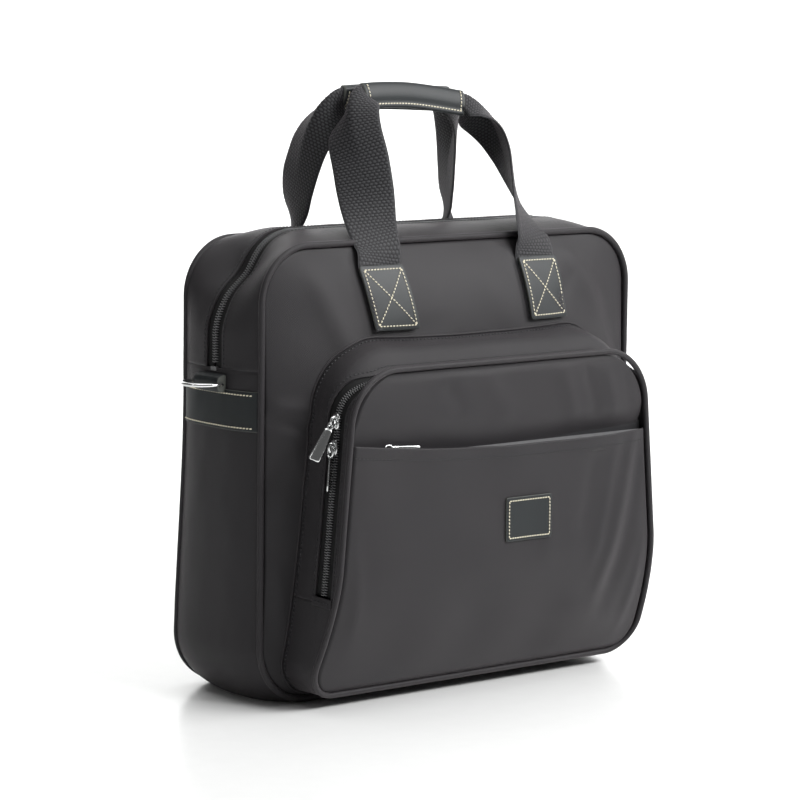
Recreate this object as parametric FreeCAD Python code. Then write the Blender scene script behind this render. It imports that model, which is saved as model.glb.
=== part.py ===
"""Flight bag: a soft nylon briefcase with a domed front and rear, a zipped top, a zipped front pocket
with a slip pocket on its face, two webbing handles and a leather band with a D-ring on each side.

Millimetres.  X runs across the bag, the front faces -Y and Z is up.  The bag stands on its bottom gusset.
Everything is modelled about the middle plane of the gusset and moved along Y when it is saved, so
that the origin is the bottom centre of the whole bag.
"""
import FreeCAD
import Part
import math
import os

V = FreeCAD.Vector

# ---- overall sizes ----
WIDTH = 376.0             # over the piping
HEIGHT = 350.0            # to the top of the piping
GUSSET_DEPTH = 88.0       # between the two pipings
CORNER_R = 46.0           # corner radius of the outline
GUSSET_BULGE = 6.0        # how far the gusset stands out along its middle
BULGE_FLAT = 18.0         # half width of the flat middle of the gusset
FRONT_DOME = 33.0         # how far the front panel stands out from the gusset's edge
REAR_DOME = 28.0          # the same at the rear
SHOULDER_INSET = 22.0     # where the panel's steep edge ends, from the outline
SHOULDER_RISE = 13.0      # how far the panel stands out there
CROWN_INSET = 70.0        # where the panel's flat middle starts, from the outline

# ---- cloth and trim ----
CLOTH = 2.5               # gusset cloth with its foam
PANEL = 3.0               # padded panel
PANEL_RIM = 5.6           # from the outline to the panel's edge, just inside the piping
PIPING = 5.0              # piping diameter
EDGE_INSET = 1.5          # the gusset's edge, below the piping's outer side
LEATHER = 1.6             # leather thickness
GAP = 0.3                 # clearance of pieces that move or only lie together
SEAM = 0.2                # clearance across a seam

# ---- main zip ----
MAIN_ZIP_END = 252.0      # height of the zip's ends
ZIP_WINDOW = 9.0          # from the zip's middle to the edge of the cloth beside it
COIL_IN = 0.7             # from the zip's middle to the near side of a coil
COIL_OUT = 3.0            # and to its far side
COIL_H = 1.6              # height of a coil
TAPE = 0.6                # tape thickness
END_STOP = 3.0            # length of an end stop

# ---- side bands and rings ----
BAND_BOTTOM = 207.0
BAND_TOP = 237.0
LOOP_WIDTH = 30.0         # leather loop that holds the ring, across the gusset
LOOP_HEIGHT = 12.0
LOOP_REACH = 8.0          # how far the loop stands out
LOOP_WALL = 2.2           # leather outside the ring's bar
RING_WIRE = 3.0           # wire diameter of the D-ring
RING_DEPTH = 21.0         # from the bar's axis to the wire's axis at the round end
RING_CORNER = GAP + RING_WIRE / 2     # bend radius at the ends of the bar, which starts where the loop ends

# ---- handles ----
STRAP_WIDTH = 38.0        # webbing
STRAP = 2.2               # webbing thickness
LEG_CENTRE = 78.0         # from the middle of the bag to the middle of a leg
HANDLE_RISE = 134.0       # height of the grip's top above the hinge line
PATCH_WIDTH = 40.0
PATCH_HEIGHT = 49.0
GRIP_LENGTH = 106.0
GRIP_HEIGHT = 21.0
GRIP_THICK = 8.0
GRIP_WEB = 19.0           # height of the folded webbing inside the grip

# ---- front pocket ----
POCKET_FACE = 112.0       # the front of its piping, from the middle plane of the gusset
POCKET_FOOT_HALF = 170.0  # half width at the foot
POCKET_FOOT_Z = 8.0
POCKET_TAPER = 0.087      # how much narrower each side gets per millimetre of height
POCKET_TOP_REAR = 272.0   # height of the pocket's top at the panel
POCKET_TOP_FRONT = 258.0  # and at its piping
POCKET_TOP_R = 38.0
POCKET_FOOT_R = 28.0
POCKET_BELLY_Z = 110.0    # below this the face leans back
POCKET_KNEE = (100.0, 58.0)   # where the lean gets steeper: distance and height
POCKET_TOE = (78.0, 6.0)      # the foot of the face
POCKET_PIPING = 4.6
POCKET_SKIN_INSET = 0.8   # the pocket's cloth, below the piping's outer side
POCKET_ZIP_Y = 90.0       # the zip's middle, from the middle plane of the gusset
POCKET_ZIP_END = 84.0     # height of the zip's ends
TAB_CLEARANCE = 2.4       # lets the front row dip past the end tab as the pocket opens

# ---- slip pocket, with depths measured back from the pocket's front ----
SLIP_MOUTH = 196.0        # height of the mouth
SLIP_PANEL_AT = 0.8
SLIP_PANEL = 2.0
SLIP_PULL_AT = 3.2
SLIP_PLATE_AT = 4.9
SLIP_COIL_AT = 6.2
SLIP_ZIP_Z = 190.0
SLIP_TAPE_HALF = 10.0
UPPER_PANEL_AT = 5.2
BACKING_AT = 10.2
BACKING = 1.0
LABEL = (46.0, 34.0)      # label patch, width and height
LABEL_CENTRE = (22.0, 135.0)

# ---- sliders and pulls ----
SLIDER_LENGTH = 12.0
SLIDER_WIDTH = 9.0
PLATE = 1.2
WEB = 0.7                 # wall between the two coils
BRIDGE_LENGTH = 6.0
BRIDGE_WIDTH = 2.2
BRIDGE_HEIGHT = 3.4
PIN_R = 0.8               # the pull's pin in the bridge
PIN_CLEARANCE = 0.08
PULL_LENGTH = 29.0
PULL_WIDTH = 8.0
PULL_THICK = 1.8
FORK_ARM = 1.4            # width of an arm of the pull's fork
FORK_EYE_R = 1.45
SLIDER_SPACE = 19.0       # between the middles of two neighbouring sliders
MAIN_SLIDER_Z = 266.0     # height of the lower main slider
POCKET_SLIDER_Z = 199.0   # height of the lower pocket slider
SLIP_SLIDER_X = -122.0
SLIP_BACK_PLATE = 0.9
SLIP_POST_R = 1.0
SLIP_POST_INSET = 1.2     # from the slider's upper side down to the post's axis
SLIP_EYE_R = 3.0
SLIP_PULL_THICK = 1.4
SLIP_PULL_HALF = 2.2
PROPPED_PULL = 28.0       # degrees that a pull stands out where it lies on a slider or ring loop

# ---- inside ----
BOARD_HALF = (144.0, 41.0)
BOARD = 2.5
DIVIDER_AT = 27.0
DIVIDER = 6.0
DIVIDER_HALF = 165.0
DIVIDER_TOP = 235.0

HALF_W = WIDTH / 2
EDGE_Y = GUSSET_DEPTH / 2
PIPE_R = PIPING / 2
PIPE_Y = EDGE_Y + SEAM + PIPE_R
HINGE_Z = HEIGHT - SHOULDER_INSET + 3.0
BIG = 600.0


# ---------------------------------------------------------------- outlines and solids

def loop_wire(points, radii, y):
    """Closed loop in the plane y through the corners (x, z), each rounded to its radius, or sharp at 0."""
    count = len(points)
    starts, mids, ends = [], [], []
    for i, (x, z) in enumerate(points):
        corner = V(x, y, z)
        before = V(points[i - 1][0], y, points[i - 1][1]) - corner
        after = V(points[(i + 1) % count][0], y, points[(i + 1) % count][1]) - corner
        before.normalize()
        after.normalize()
        half = before.getAngle(after) / 2
        middle = before + after
        middle.normalize()
        reach = radii[i] / math.tan(half)
        centre = corner + middle * (radii[i] / math.sin(half))
        starts.append(corner + before * reach)
        ends.append(corner + after * reach)
        mids.append(centre - middle * radii[i])
    edges = []
    for i in range(count):
        if radii[i] > 0:
            edges.append(Part.Arc(starts[i], mids[i], ends[i]).toShape())
        edges.append(Part.LineSegment(ends[i], starts[(i + 1) % count]).toShape())
    return Part.Wire(edges)


def body_wire(inset, y, foot=None):
    """The bag's outline made smaller by inset; foot sets the height of its lower side."""
    half = HALF_W - inset
    low = inset if foot is None else foot
    high = HEIGHT - inset
    radius = max(CORNER_R - inset, 14.0)
    return loop_wire([(-half, low), (half, low), (half, high), (-half, high)], [radius] * 4, y)


def loft(wires):
    return Part.makeLoft(wires, True, True)


def box(x0, x1, y0, y1, z0, z1):
    return Part.makeBox(x1 - x0, y1 - y0, z1 - z0, V(x0, y0, z0))


def above(z):
    return box(-BIG, BIG, -BIG, BIG, z, BIG)


def below(z):
    return box(-BIG, BIG, -BIG, BIG, -BIG, z)


def between(y0, y1):
    return box(-BIG, BIG, y0, y1, -BIG, BIG)


def gusset_block(depth):
    """The space inside the gusset's skin at a depth below its outer side.  It is flat along the middle."""
    rows = [
        (-EDGE_Y, EDGE_INSET),
        (-BULGE_FLAT, -GUSSET_BULGE),
        (BULGE_FLAT, -GUSSET_BULGE),
        (EDGE_Y, EDGE_INSET),
    ]
    foot = max(depth, 0.0)
    return loft([body_wire(inset + depth, y, foot) for y, inset in rows])


def gusset_skin(outer, inner):
    return gusset_block(outer).cut(gusset_block(inner))


def panel_inset(inset, side):
    """Distance of a panel's outer side from the middle plane at an inset from the outline."""
    dome = FRONT_DOME if side < 0 else REAR_DOME
    slope = (dome - SHOULDER_RISE) / (CROWN_INSET - SHOULDER_INSET)
    return EDGE_Y + SHOULDER_RISE + slope * (inset - SHOULDER_INSET)


def dome(side, grow=0.0, inward=0.0):
    """Solid under a panel's outer side.  grow moves the outer side out, inward moves it in."""
    rim = PANEL_RIM + inward - grow
    rows = [
        (rim, EDGE_Y + SEAM),
        (rim, PIPE_Y - inward / 2 + grow),
        (SHOULDER_INSET + inward / 2, EDGE_Y + SHOULDER_RISE - inward + grow),
        (CROWN_INSET + inward / 2, panel_inset(CROWN_INSET, side) - inward + grow),
    ]
    return loft([body_wire(inset, side * y) for inset, y in rows])


def panel(side):
    return dome(side).cut(dome(side, inward=PANEL))


def piping(side):
    inset = PIPE_R + 0.4
    path = body_wire(inset, side * PIPE_Y)
    start = V(0, side * PIPE_Y, inset)
    section = Part.Wire([Part.makeCircle(PIPE_R, start, V(1, 0, 0))])
    low = [edge for edge in path.Edges if edge.CenterOfMass.z < inset + 1]
    middle = min(low, key=lambda edge: abs(edge.CenterOfMass.x))
    left, right = sorted([v.Point for v in middle.Vertexes], key=lambda p: p.x)
    rest = [edge for edge in path.Edges if not edge.isSame(middle)]
    rest.append(Part.LineSegment(start, right).toShape())
    rest.append(Part.LineSegment(left, start).toShape())
    spine = Part.Wire(Part.__sortEdges__(rest))
    return spine.makePipeShell([section], True, False)


# ---------------------------------------------------------------- pocket

def pocket_half(z):
    return POCKET_FOOT_HALF - POCKET_TAPER * (z - POCKET_FOOT_Z)


def pocket_wire(inset, y, top):
    low = POCKET_FOOT_Z + inset
    high = top - inset
    corners = [
        (-pocket_half(low) + inset, low),
        (pocket_half(low) - inset, low),
        (pocket_half(high) - inset, high),
        (-pocket_half(high) + inset, high),
    ]
    foot_r = max(POCKET_FOOT_R - inset, 4.0)
    top_r = max(POCKET_TOP_R - inset, 4.0)
    return loop_wire(corners, [foot_r, foot_r, top_r, top_r], y)


def pocket_block(inset):
    """The pocket's volume, made smaller by inset; its top slopes down to the front."""
    rear = EDGE_Y + 1.0
    front = POCKET_FACE + 3.0
    slope = (POCKET_TOP_REAR - POCKET_TOP_FRONT) / (POCKET_FACE - EDGE_Y - FRONT_DOME)
    rear_top = POCKET_TOP_REAR + slope * (EDGE_Y + FRONT_DOME - rear)
    front_top = POCKET_TOP_FRONT - slope * (front - POCKET_FACE)
    return loft([pocket_wire(inset, -rear, rear_top), pocket_wire(inset, -front, front_top)])


def behind_face(depth):
    """Everything behind the pocket's face at a depth below its front."""
    knee_y, knee_z = POCKET_KNEE
    toe_y, toe_z = POCKET_TOE
    lean = (knee_y - toe_y) / (knee_z - toe_z)
    corners = [
        (0.0, BIG),
        (-POCKET_FACE + depth, BIG),
        (-POCKET_FACE + depth, POCKET_BELLY_Z),
        (-knee_y + depth, knee_z),
        (-toe_y + depth, toe_z),
        (-toe_y + depth + 30 * lean, toe_z - 30),
        (0.0, toe_z - 30),
    ]
    points = [V(-BIG, y, z) for y, z in corners]
    face = Part.Face(Part.makePolygon(points + [points[0]]))
    return face.extrude(V(2 * BIG, 0, 0))


def face_layer(front, rear):
    return behind_face(front).cut(behind_face(rear))


def pocket_ring(outer, inner):
    return pocket_block(outer).cut(pocket_block(inner))


def side_direction():
    """Unit vectors along and out of the pocket's left side."""
    along = V(POCKET_TAPER, 0, 1)
    along.normalize()
    return along, V(-along.z, 0, along.x)


# ---------------------------------------------------------------- sliders and pulls

def coil_depth():
    return COIL_H + TAPE


def bridge_axis():
    return GAP + PLATE + BRIDGE_HEIGHT / 2


def slider():
    """Two plates joined by a wall between the coils, with a bored bridge on top.  The coil's top is z = 0."""
    half = SLIDER_LENGTH / 2
    side = SLIDER_WIDTH / 2
    low = -coil_depth() - GAP
    top = box(-half, half, -side, side, GAP, GAP + PLATE)
    bottom = box(-half + 1, half - 1, -side, side, low - 1.0, low)
    wall = box(-2.5, half - 1, -WEB / 2, WEB / 2, low, GAP)
    plate_top = GAP + PLATE
    bridge = box(-BRIDGE_LENGTH / 2, BRIDGE_LENGTH / 2, -BRIDGE_WIDTH / 2, BRIDGE_WIDTH / 2,
                 plate_top, plate_top + BRIDGE_HEIGHT)
    bore_start = V(0, -1.5 * BRIDGE_WIDTH, bridge_axis())
    bore = Part.makeCylinder(PIN_R + PIN_CLEARANCE, 3 * BRIDGE_WIDTH, bore_start, V(0, 1, 0))
    return top.fuse([bottom, wall, bridge]).cut(bore).removeSplitter()


def pull():
    """Fork with a pin through the bridge and a slotted bar.  The pin's axis is the origin; the bar hangs to -x."""
    gap = BRIDGE_WIDTH / 2 + 0.2
    side = PULL_WIDTH / 2
    half = PULL_THICK / 2
    pin = Part.makeCylinder(PIN_R, 2 * gap, V(0, -gap, 0), V(0, 1, 0))
    solids = []
    for y in (-gap - FORK_ARM, gap):
        solids.append(Part.makeCylinder(FORK_EYE_R, FORK_ARM, V(0, y, 0), V(0, 1, 0)))
        solids.append(box(-6.4, 0, y, y + FORK_ARM, -half, half))
    bar = box(-PULL_LENGTH, -5.0, -side, side, -half, half)
    slot = box(-10.5, -7.0, -side + 1.6, side - 1.6, -PULL_THICK, PULL_THICK)
    return pin.fuse(solids + [bar]).cut(slot).removeSplitter()


def set_at(shape, origin, along, out):
    """Copy of a shape, turned from its own frame and moved to a place on the bag."""
    across = out.cross(along)
    turn = FreeCAD.Rotation(along, across, out, "ZXY")
    copy = shape.copy()
    copy.Placement = FreeCAD.Placement(origin, turn).multiply(shape.Placement)
    return copy


# ---------------------------------------------------------------- handles

def handle_lean():
    """Lean from upright that brings a grip's inner side to the middle plane, less half a clearance."""
    rise = HANDLE_RISE
    hinge_y = hinge_line(-1)
    inner = hinge_y - GRIP_THICK / 2 - GAP
    return math.atan2(inner, rise)


def hinge_line(side):
    """Distance of a handle's hinge line from the middle plane."""
    return panel_inset(SHOULDER_INSET, side) + SEAM + STRAP / 2 - 1.0


def handle_plate(side):
    """Webbing of one handle in its own plane, then leaned inward about the hinge line."""
    length = HANDLE_RISE / math.cos(handle_lean())
    top = length - 1.0
    outer = LEG_CENTRE + STRAP_WIDTH / 2
    inner = LEG_CENTRE - STRAP_WIDTH / 2
    low = top - GRIP_WEB
    # both edges are straight through the grip and start to turn where it ends
    outer_r = outer - GRIP_LENGTH / 2 - GAP
    inner_r = inner - GRIP_LENGTH / 2 - GAP
    corners = [(-outer, 0), (-outer, top), (outer, top), (outer, 0),
               (inner, 0), (inner, low), (-inner, low), (-inner, 0)]
    radii = [0, outer_r, outer_r, 0, 0, inner_r, inner_r, 0]
    plate = Part.Face(loop_wire(corners, radii, -STRAP / 2)).extrude(V(0, STRAP, 0))
    ends = []
    for x in (-outer, inner):
        ends.append(Part.makeCylinder(STRAP / 2 - 0.1, STRAP_WIDTH, V(x, 0, 0), V(1, 0, 0)))
    return lean(plate.fuse(ends).removeSplitter(), side)


def handle_grip(side):
    length = HANDLE_RISE / math.cos(handle_lean())
    half = GRIP_LENGTH / 2
    side_y = GRIP_THICK / 2
    slot_y = STRAP / 2 + 0.1
    outer = box(-half, half, -side_y, side_y, length - GRIP_HEIGHT, length)
    inner = box(-half - 1, half + 1, -slot_y, slot_y, length - GRIP_WEB - 1.1, length - 0.9)
    return lean(outer.cut(inner), side)


def lean(shape, side):
    shape = shape.copy()
    shape.rotate(V(0, 0, 0), V(1, 0, 0), math.degrees(side * handle_lean()))
    shape.translate(V(0, side * hinge_line(side), HINGE_Z))
    return shape


def on_panel(width, height, thick, lift, side, top):
    """Two flat pieces on the sloping top of a panel, one at each leg; top is the height of their upper edge."""
    rise = panel_inset(CROWN_INSET, side) - panel_inset(SHOULDER_INSET, side)
    tilt = math.atan2(rise, CROWN_INSET - SHOULDER_INSET)
    at = panel_inset(HEIGHT - top, side)
    pieces = []
    for x in (-LEG_CENTRE, LEG_CENTRE):
        piece = box(x - width / 2, x + width / 2, 0, thick, -height, 0)
        if side < 0:
            piece = box(x - width / 2, x + width / 2, -thick, 0, -height, 0)
        piece.translate(V(0, side * lift, 0))
        piece.rotate(V(0, 0, 0), V(1, 0, 0), math.degrees(side * tilt))
        piece.translate(V(0, side * at, top))
        pieces.append(piece)
    return Part.makeCompound(pieces)


# ---------------------------------------------------------------- nodes

nodes = {}


def add(name, shape):
    if isinstance(shape, Part.Compound) and len(shape.Solids) == 1:
        shape = shape.Solids[0]
    nodes[name] = shape


def body_nodes():
    skin = gusset_skin(0, CLOTH)
    add("lower_gusset", skin.common(below(MAIN_ZIP_END)))
    upper = skin.common(above(MAIN_ZIP_END + SEAM))
    add("front_zip_strip", upper.common(between(-BIG, -ZIP_WINDOW)))
    add("rear_zip_strip", upper.common(between(ZIP_WINDOW, BIG)))
    add("front_panel", panel(-1))
    add("front_piping", piping(-1))
    rear = panel(1)
    cord = piping(1)
    add("rear_panel_lower", rear.common(below(MAIN_ZIP_END)))
    add("rear_panel_upper", rear.common(above(MAIN_ZIP_END + SEAM)))
    add("rear_piping_lower", cord.common(below(MAIN_ZIP_END)))
    add("rear_piping_upper", cord.common(above(MAIN_ZIP_END + SEAM)))


def zip_nodes(prefix, skin, centre, start, names):
    """Two coils and two tapes along a skin.  skin(outer, inner) gives the layer between two depths."""
    coil = skin(0, COIL_H).common(above(start))
    tape = skin(COIL_H, COIL_H + TAPE).common(above(start))
    for name, side in names:
        y0, y1 = sorted((centre + side * COIL_IN, centre + side * COIL_OUT))
        add("%s_coil_%s" % (prefix, name), coil.common(between(y0, y1)))
        y0, y1 = sorted((centre + side * (COIL_IN + 0.2), centre + side * ZIP_WINDOW))
        add("%s_tape_%s" % (prefix, name), tape.common(between(y0, y1)))


def main_zip_nodes():
    start = MAIN_ZIP_END + END_STOP + 2 * SEAM
    zip_nodes("main_zip", gusset_skin, 0.0, start, (("front", -1), ("rear", 1)))
    skin = gusset_skin(-0.4, CLOTH)
    stops = skin.common(above(MAIN_ZIP_END)).common(below(MAIN_ZIP_END + END_STOP))
    stops = stops.common(between(-COIL_OUT - 0.5, COIL_OUT + 0.5))
    add("main_zip_end_stops", stops)


def ring_nodes():
    skin = gusset_skin(-LEATHER, 0)
    band = skin.common(above(BAND_BOTTOM)).common(below(BAND_TOP))
    band = band.common(between(-EDGE_Y + 0.5, EDGE_Y - 0.5))
    wall = HALF_W + GUSSET_BULGE
    for name, side in (("left", -1), ("right", 1)):
        half_space = box(min(0, side * BIG), max(0, side * BIG), -BIG, BIG, -BIG, BIG)
        add("side_band_" + name, band.common(half_space))
        bar_x = side * (wall + LOOP_REACH - LOOP_WALL - RING_WIRE / 2)
        bar_z = BAND_TOP + LOOP_HEIGHT / 2 + SEAM
        low = BAND_TOP + SEAM
        x0, x1 = sorted((side * wall, side * (wall + LOOP_REACH)))
        loop = box(x0, x1, -LOOP_WIDTH / 2, LOOP_WIDTH / 2, low, low + LOOP_HEIGHT)
        bore_start = V(bar_x, -LOOP_WIDTH, bar_z)
        bore = Part.makeCylinder(RING_WIRE / 2 + 0.1, 2 * LOOP_WIDTH, bore_start, V(0, 1, 0))
        add("ring_loop_" + name, loop.cut(bore))
    ring = d_ring(bar_x, bar_z)
    add("d_ring_right", ring)
    add("d_ring_left", ring.mirror(V(0, 0, 0), V(1, 0, 0)))


def d_ring(x, z):
    """Closed wire ring of the right side: a straight bar along Y, two short arms and a round end."""
    half = LOOP_WIDTH / 2 + GAP + RING_WIRE / 2
    arm = RING_DEPTH - half
    out = V(1, 0, 0)
    across = V(0, 1, 0)
    c = RING_CORNER
    k = c * (1 - math.sqrt(0.5))

    def at(u, w):
        return V(x, 0, z) + out * u + across * w

    bar_end = half - c
    edges = [
        Part.LineSegment(at(0, 0), at(0, bar_end)).toShape(),
        Part.Arc(at(0, bar_end), at(k, half - k), at(c, half)).toShape(),
        Part.LineSegment(at(c, half), at(arm, half)).toShape(),
    ]
    edges += [
        Part.Arc(at(arm, half), at(RING_DEPTH, 0), at(arm, -half)).toShape(),
        Part.LineSegment(at(arm, -half), at(c, -half)).toShape(),
        Part.Arc(at(c, -half), at(k, -half + k), at(0, -bar_end)).toShape(),
        Part.LineSegment(at(0, -bar_end), at(0, 0)).toShape(),
    ]
    spine = Part.Wire(Part.__sortEdges__(edges))
    section = Part.Wire([Part.makeCircle(RING_WIRE / 2, at(0, 0), across)])
    return spine.makePipeShell([section], True, False)


def handle_nodes():
    strap_top = HEIGHT - SHOULDER_INSET
    on_strap = SEAM / 2 + STRAP + SEAM / 2
    for name, side in (("front", -1), ("rear", 1)):
        add(name + "_webbing", handle_plate(side))
        add(name + "_grip", handle_grip(side))
        ends = on_panel(STRAP_WIDTH, PATCH_HEIGHT - 2, STRAP, SEAM / 2, side, strap_top)
        add(name + "_strap_ends", ends)
        patches = on_panel(PATCH_WIDTH, PATCH_HEIGHT, LEATHER, on_strap, side, strap_top - 1.0)
        add(name + "_patches", patches)


def pocket_nodes():
    on_body = dome(-1, grow=SEAM)
    inset = POCKET_SKIN_INSET
    under = inset + CLOTH
    skin = pocket_ring(inset, under).common(behind_face(POCKET_PIPING + SEAM)).cut(on_body)
    add("pocket_gusset_lower", skin.common(below(POCKET_ZIP_END)))
    upper = skin.common(above(POCKET_ZIP_END + SEAM))
    add("pocket_gusset_rear", upper.common(between(-POCKET_ZIP_Y + ZIP_WINDOW, 0)))
    add("pocket_gusset_front", upper.common(between(-BIG, -POCKET_ZIP_Y - ZIP_WINDOW)))

    def layer(outer, inner):
        return pocket_ring(inset + outer, inset + inner).cut(on_body)

    start = POCKET_ZIP_END + SEAM + END_STOP + TAB_CLEARANCE
    zip_nodes("pocket_zip", layer, -POCKET_ZIP_Y, start, (("front", -1), ("rear", 1)))
    tabs = pocket_ring(-0.2, under).common(above(POCKET_ZIP_END + SEAM))
    tabs = tabs.common(below(POCKET_ZIP_END + SEAM + END_STOP))
    tabs = tabs.common(between(-POCKET_ZIP_Y - ZIP_WINDOW, -POCKET_ZIP_Y + ZIP_WINDOW))
    add("pocket_zip_end_tabs", tabs)
    add("pocket_piping", pocket_ring(0, POCKET_PIPING).common(face_layer(0, POCKET_PIPING)))

    inside = pocket_block(POCKET_PIPING + SEAM)
    backed = pocket_block(under + SEAM)
    tape_top = SLIP_ZIP_Z + SLIP_TAPE_HALF
    upper_panel = backed.common(face_layer(UPPER_PANEL_AT, UPPER_PANEL_AT + PANEL))
    add("pocket_upper_panel", upper_panel.common(above(tape_top)))
    slip = inside.common(face_layer(SLIP_PANEL_AT, SLIP_PANEL_AT + SLIP_PANEL))
    slip = slip.common(below(SLIP_MOUTH))
    coil_back = SLIP_COIL_AT + COIL_H
    hem = inside.common(face_layer(SLIP_PANEL_AT + SLIP_PANEL, coil_back + TAPE))
    hem = hem.common(above(SLIP_ZIP_Z - SLIP_TAPE_HALF - 4)).common(below(SLIP_ZIP_Z - SLIP_TAPE_HALF))
    add("slip_pocket_panel", slip.fuse(hem).removeSplitter())
    backing = backed.common(face_layer(BACKING_AT, BACKING_AT + BACKING))
    add("slip_pocket_backing", backing.common(below(tape_top + 12)))
    coil = inside.common(face_layer(SLIP_COIL_AT, coil_back))
    tape = inside.common(face_layer(coil_back, coil_back + TAPE))
    for name, side in (("upper", 1), ("lower", -1)):
        z0, z1 = sorted((SLIP_ZIP_Z + side * COIL_IN, SLIP_ZIP_Z + side * COIL_OUT))
        add("slip_zip_coil_" + name, coil.common(above(z0)).common(below(z1)))
        z0, z1 = sorted((SLIP_ZIP_Z + side * (COIL_IN + 0.2), SLIP_ZIP_Z + side * SLIP_TAPE_HALF))
        add("slip_zip_tape_" + name, tape.common(above(z0)).common(below(z1)))
    face = -POCKET_FACE + SLIP_PANEL_AT
    x, z = LABEL_CENTRE
    half_x, half_z = LABEL[0] / 2, LABEL[1] / 2
    add("label_patch", box(x - half_x, x + half_x, face - LEATHER, face, z - half_z, z + half_z))


def slider_nodes():
    wall = HALF_W + GUSSET_BULGE
    up = V(0, 0, 1)
    right = V(1, 0, 0)
    for name, number in (("lower", 0), ("upper", 1)):
        z = MAIN_SLIDER_Z + number * SLIDER_SPACE
        add("main_slider_" + name, set_at(slider(), V(wall, 0, z), up, right))
        pin = V(wall + bridge_axis(), 0, z)
        add("main_pull_" + name, set_at(turned(pull(), PROPPED_PULL), pin, up, right))
    along, out = side_direction()
    for name, number in (("lower", 0), ("upper", 1)):
        z = POCKET_SLIDER_Z + number * SLIDER_SPACE * along.z
        on_side = V(-pocket_half(z) + POCKET_SKIN_INSET, -POCKET_ZIP_Y, z)
        add("pocket_slider_" + name, set_at(slider(), on_side, along, out))
        tilted = turned(pull(), number * PROPPED_PULL)
        add("pocket_pull_" + name, set_at(tilted, on_side + out * bridge_axis(), along, out))


def turned(shape, degrees):
    """Shape turned about its pin so that its bar stands out from the zip."""
    shape = shape.copy()
    shape.rotate(V(0, 0, 0), V(0, 1, 0), degrees)
    return shape


def slip_slider_nodes():
    """Flat slider behind the slip pocket's mouth; its pull lies along the mouth on a short post."""
    face = -POCKET_FACE
    x = SLIP_SLIDER_X
    z = SLIP_ZIP_Z
    half = SLIDER_LENGTH / 2
    side = SLIDER_WIDTH / 2
    plate = face + SLIP_PLATE_AT
    back = face + SLIP_COIL_AT + COIL_H + TAPE + GAP
    top = box(x - half, x + half, plate, face + SLIP_COIL_AT - GAP, z - side, z + side)
    bottom = box(x - half + 1, x + half - 1, back, back + SLIP_BACK_PLATE, z - side, z + side)
    wall = box(x - half + 1, x + 2.5, plate, back, z - WEB / 2, z + WEB / 2)
    post_z = z + side - SLIP_POST_INSET
    pull_front = face + SLIP_PULL_AT
    post_length = plate - pull_front + 0.1
    post = Part.makeCylinder(SLIP_POST_R, post_length, V(x, pull_front - 0.1, post_z), V(0, 1, 0))
    add("slip_slider", top.fuse([bottom, wall, post]).removeSplitter())
    thick = SLIP_PULL_THICK
    half_bar = SLIP_PULL_HALF
    eye = Part.makeCylinder(SLIP_EYE_R, thick, V(x, pull_front, post_z), V(0, 1, 0))
    bar = box(x + 1.5, x + PULL_LENGTH + 4, pull_front, pull_front + thick, post_z - half_bar, post_z + half_bar)
    hole = Part.makeCylinder(SLIP_POST_R + GAP, 4 * thick, V(x, pull_front - thick, post_z), V(0, 1, 0))
    add("slip_pull", eye.fuse(bar).cut(hole).removeSplitter())


def inner_nodes():
    half_x, half_y = BOARD_HALF
    add("base_board", box(-half_x, half_x, -half_y, half_y, CLOTH + SEAM, CLOTH + SEAM + BOARD))
    foot = CLOTH + 2 * SEAM + BOARD
    half = DIVIDER_HALF
    corners = [(-half, foot), (half, foot), (half, DIVIDER_TOP), (-half, DIVIDER_TOP)]
    outline = loop_wire(corners, [CORNER_R, CORNER_R, 12, 12], DIVIDER_AT)
    add("divider", Part.Face(outline).extrude(V(0, DIVIDER, 0)))


body_nodes()
main_zip_nodes()
ring_nodes()
handle_nodes()
pocket_nodes()
slider_nodes()
slip_slider_nodes()
inner_nodes()

# the label is the foremost piece and the rear patches are the rearmost
ORIGIN_Y = -(nodes["label_patch"].BoundBox.YMin + nodes["rear_patches"].BoundBox.YMax) / 2

os.makedirs("parts", exist_ok=True)
for node, solid in nodes.items():
    solid = solid.copy()
    solid.translate(V(0, ORIGIN_Y, 0))
    solid.exportStep("parts/%s.step" % node)
print("nodes", len(nodes), "moved by y =", round(ORIGIN_Y, 3))
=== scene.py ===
"""Flight bag: the soft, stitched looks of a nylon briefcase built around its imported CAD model.

Lengths inside the shape functions are millimetres about the middle plane of the gusset: X runs across
the bag, the front faces -Y and Z is up.  build() turns them into metres in the frame of the model.
"""
import math

import bpy
import numpy as np
from bpy.props import FloatProperty, FloatVectorProperty, PointerProperty
from bpy.types import Operator, Panel, PropertyGroup
from mathutils import Matrix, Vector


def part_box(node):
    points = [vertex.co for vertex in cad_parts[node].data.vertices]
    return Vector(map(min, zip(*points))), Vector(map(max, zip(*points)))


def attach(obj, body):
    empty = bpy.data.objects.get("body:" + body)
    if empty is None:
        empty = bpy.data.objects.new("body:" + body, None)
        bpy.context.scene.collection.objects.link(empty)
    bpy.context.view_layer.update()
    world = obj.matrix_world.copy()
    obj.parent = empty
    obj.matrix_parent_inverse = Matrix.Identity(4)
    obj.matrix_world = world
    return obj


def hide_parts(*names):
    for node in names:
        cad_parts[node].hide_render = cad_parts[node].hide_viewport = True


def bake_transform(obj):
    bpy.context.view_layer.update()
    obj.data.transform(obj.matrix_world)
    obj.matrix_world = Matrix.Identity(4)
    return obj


bl_info = {
    "name": "Flight bag",
    "version": (1, 0, 0),
    "blender": (4, 5, 0),
    "location": "3D View > Sidebar > Flight bag",
    "description": "Builds the cloth, leather, zips, handles and stage of a soft flight bag",
    "category": "Add Mesh",
}

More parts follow.
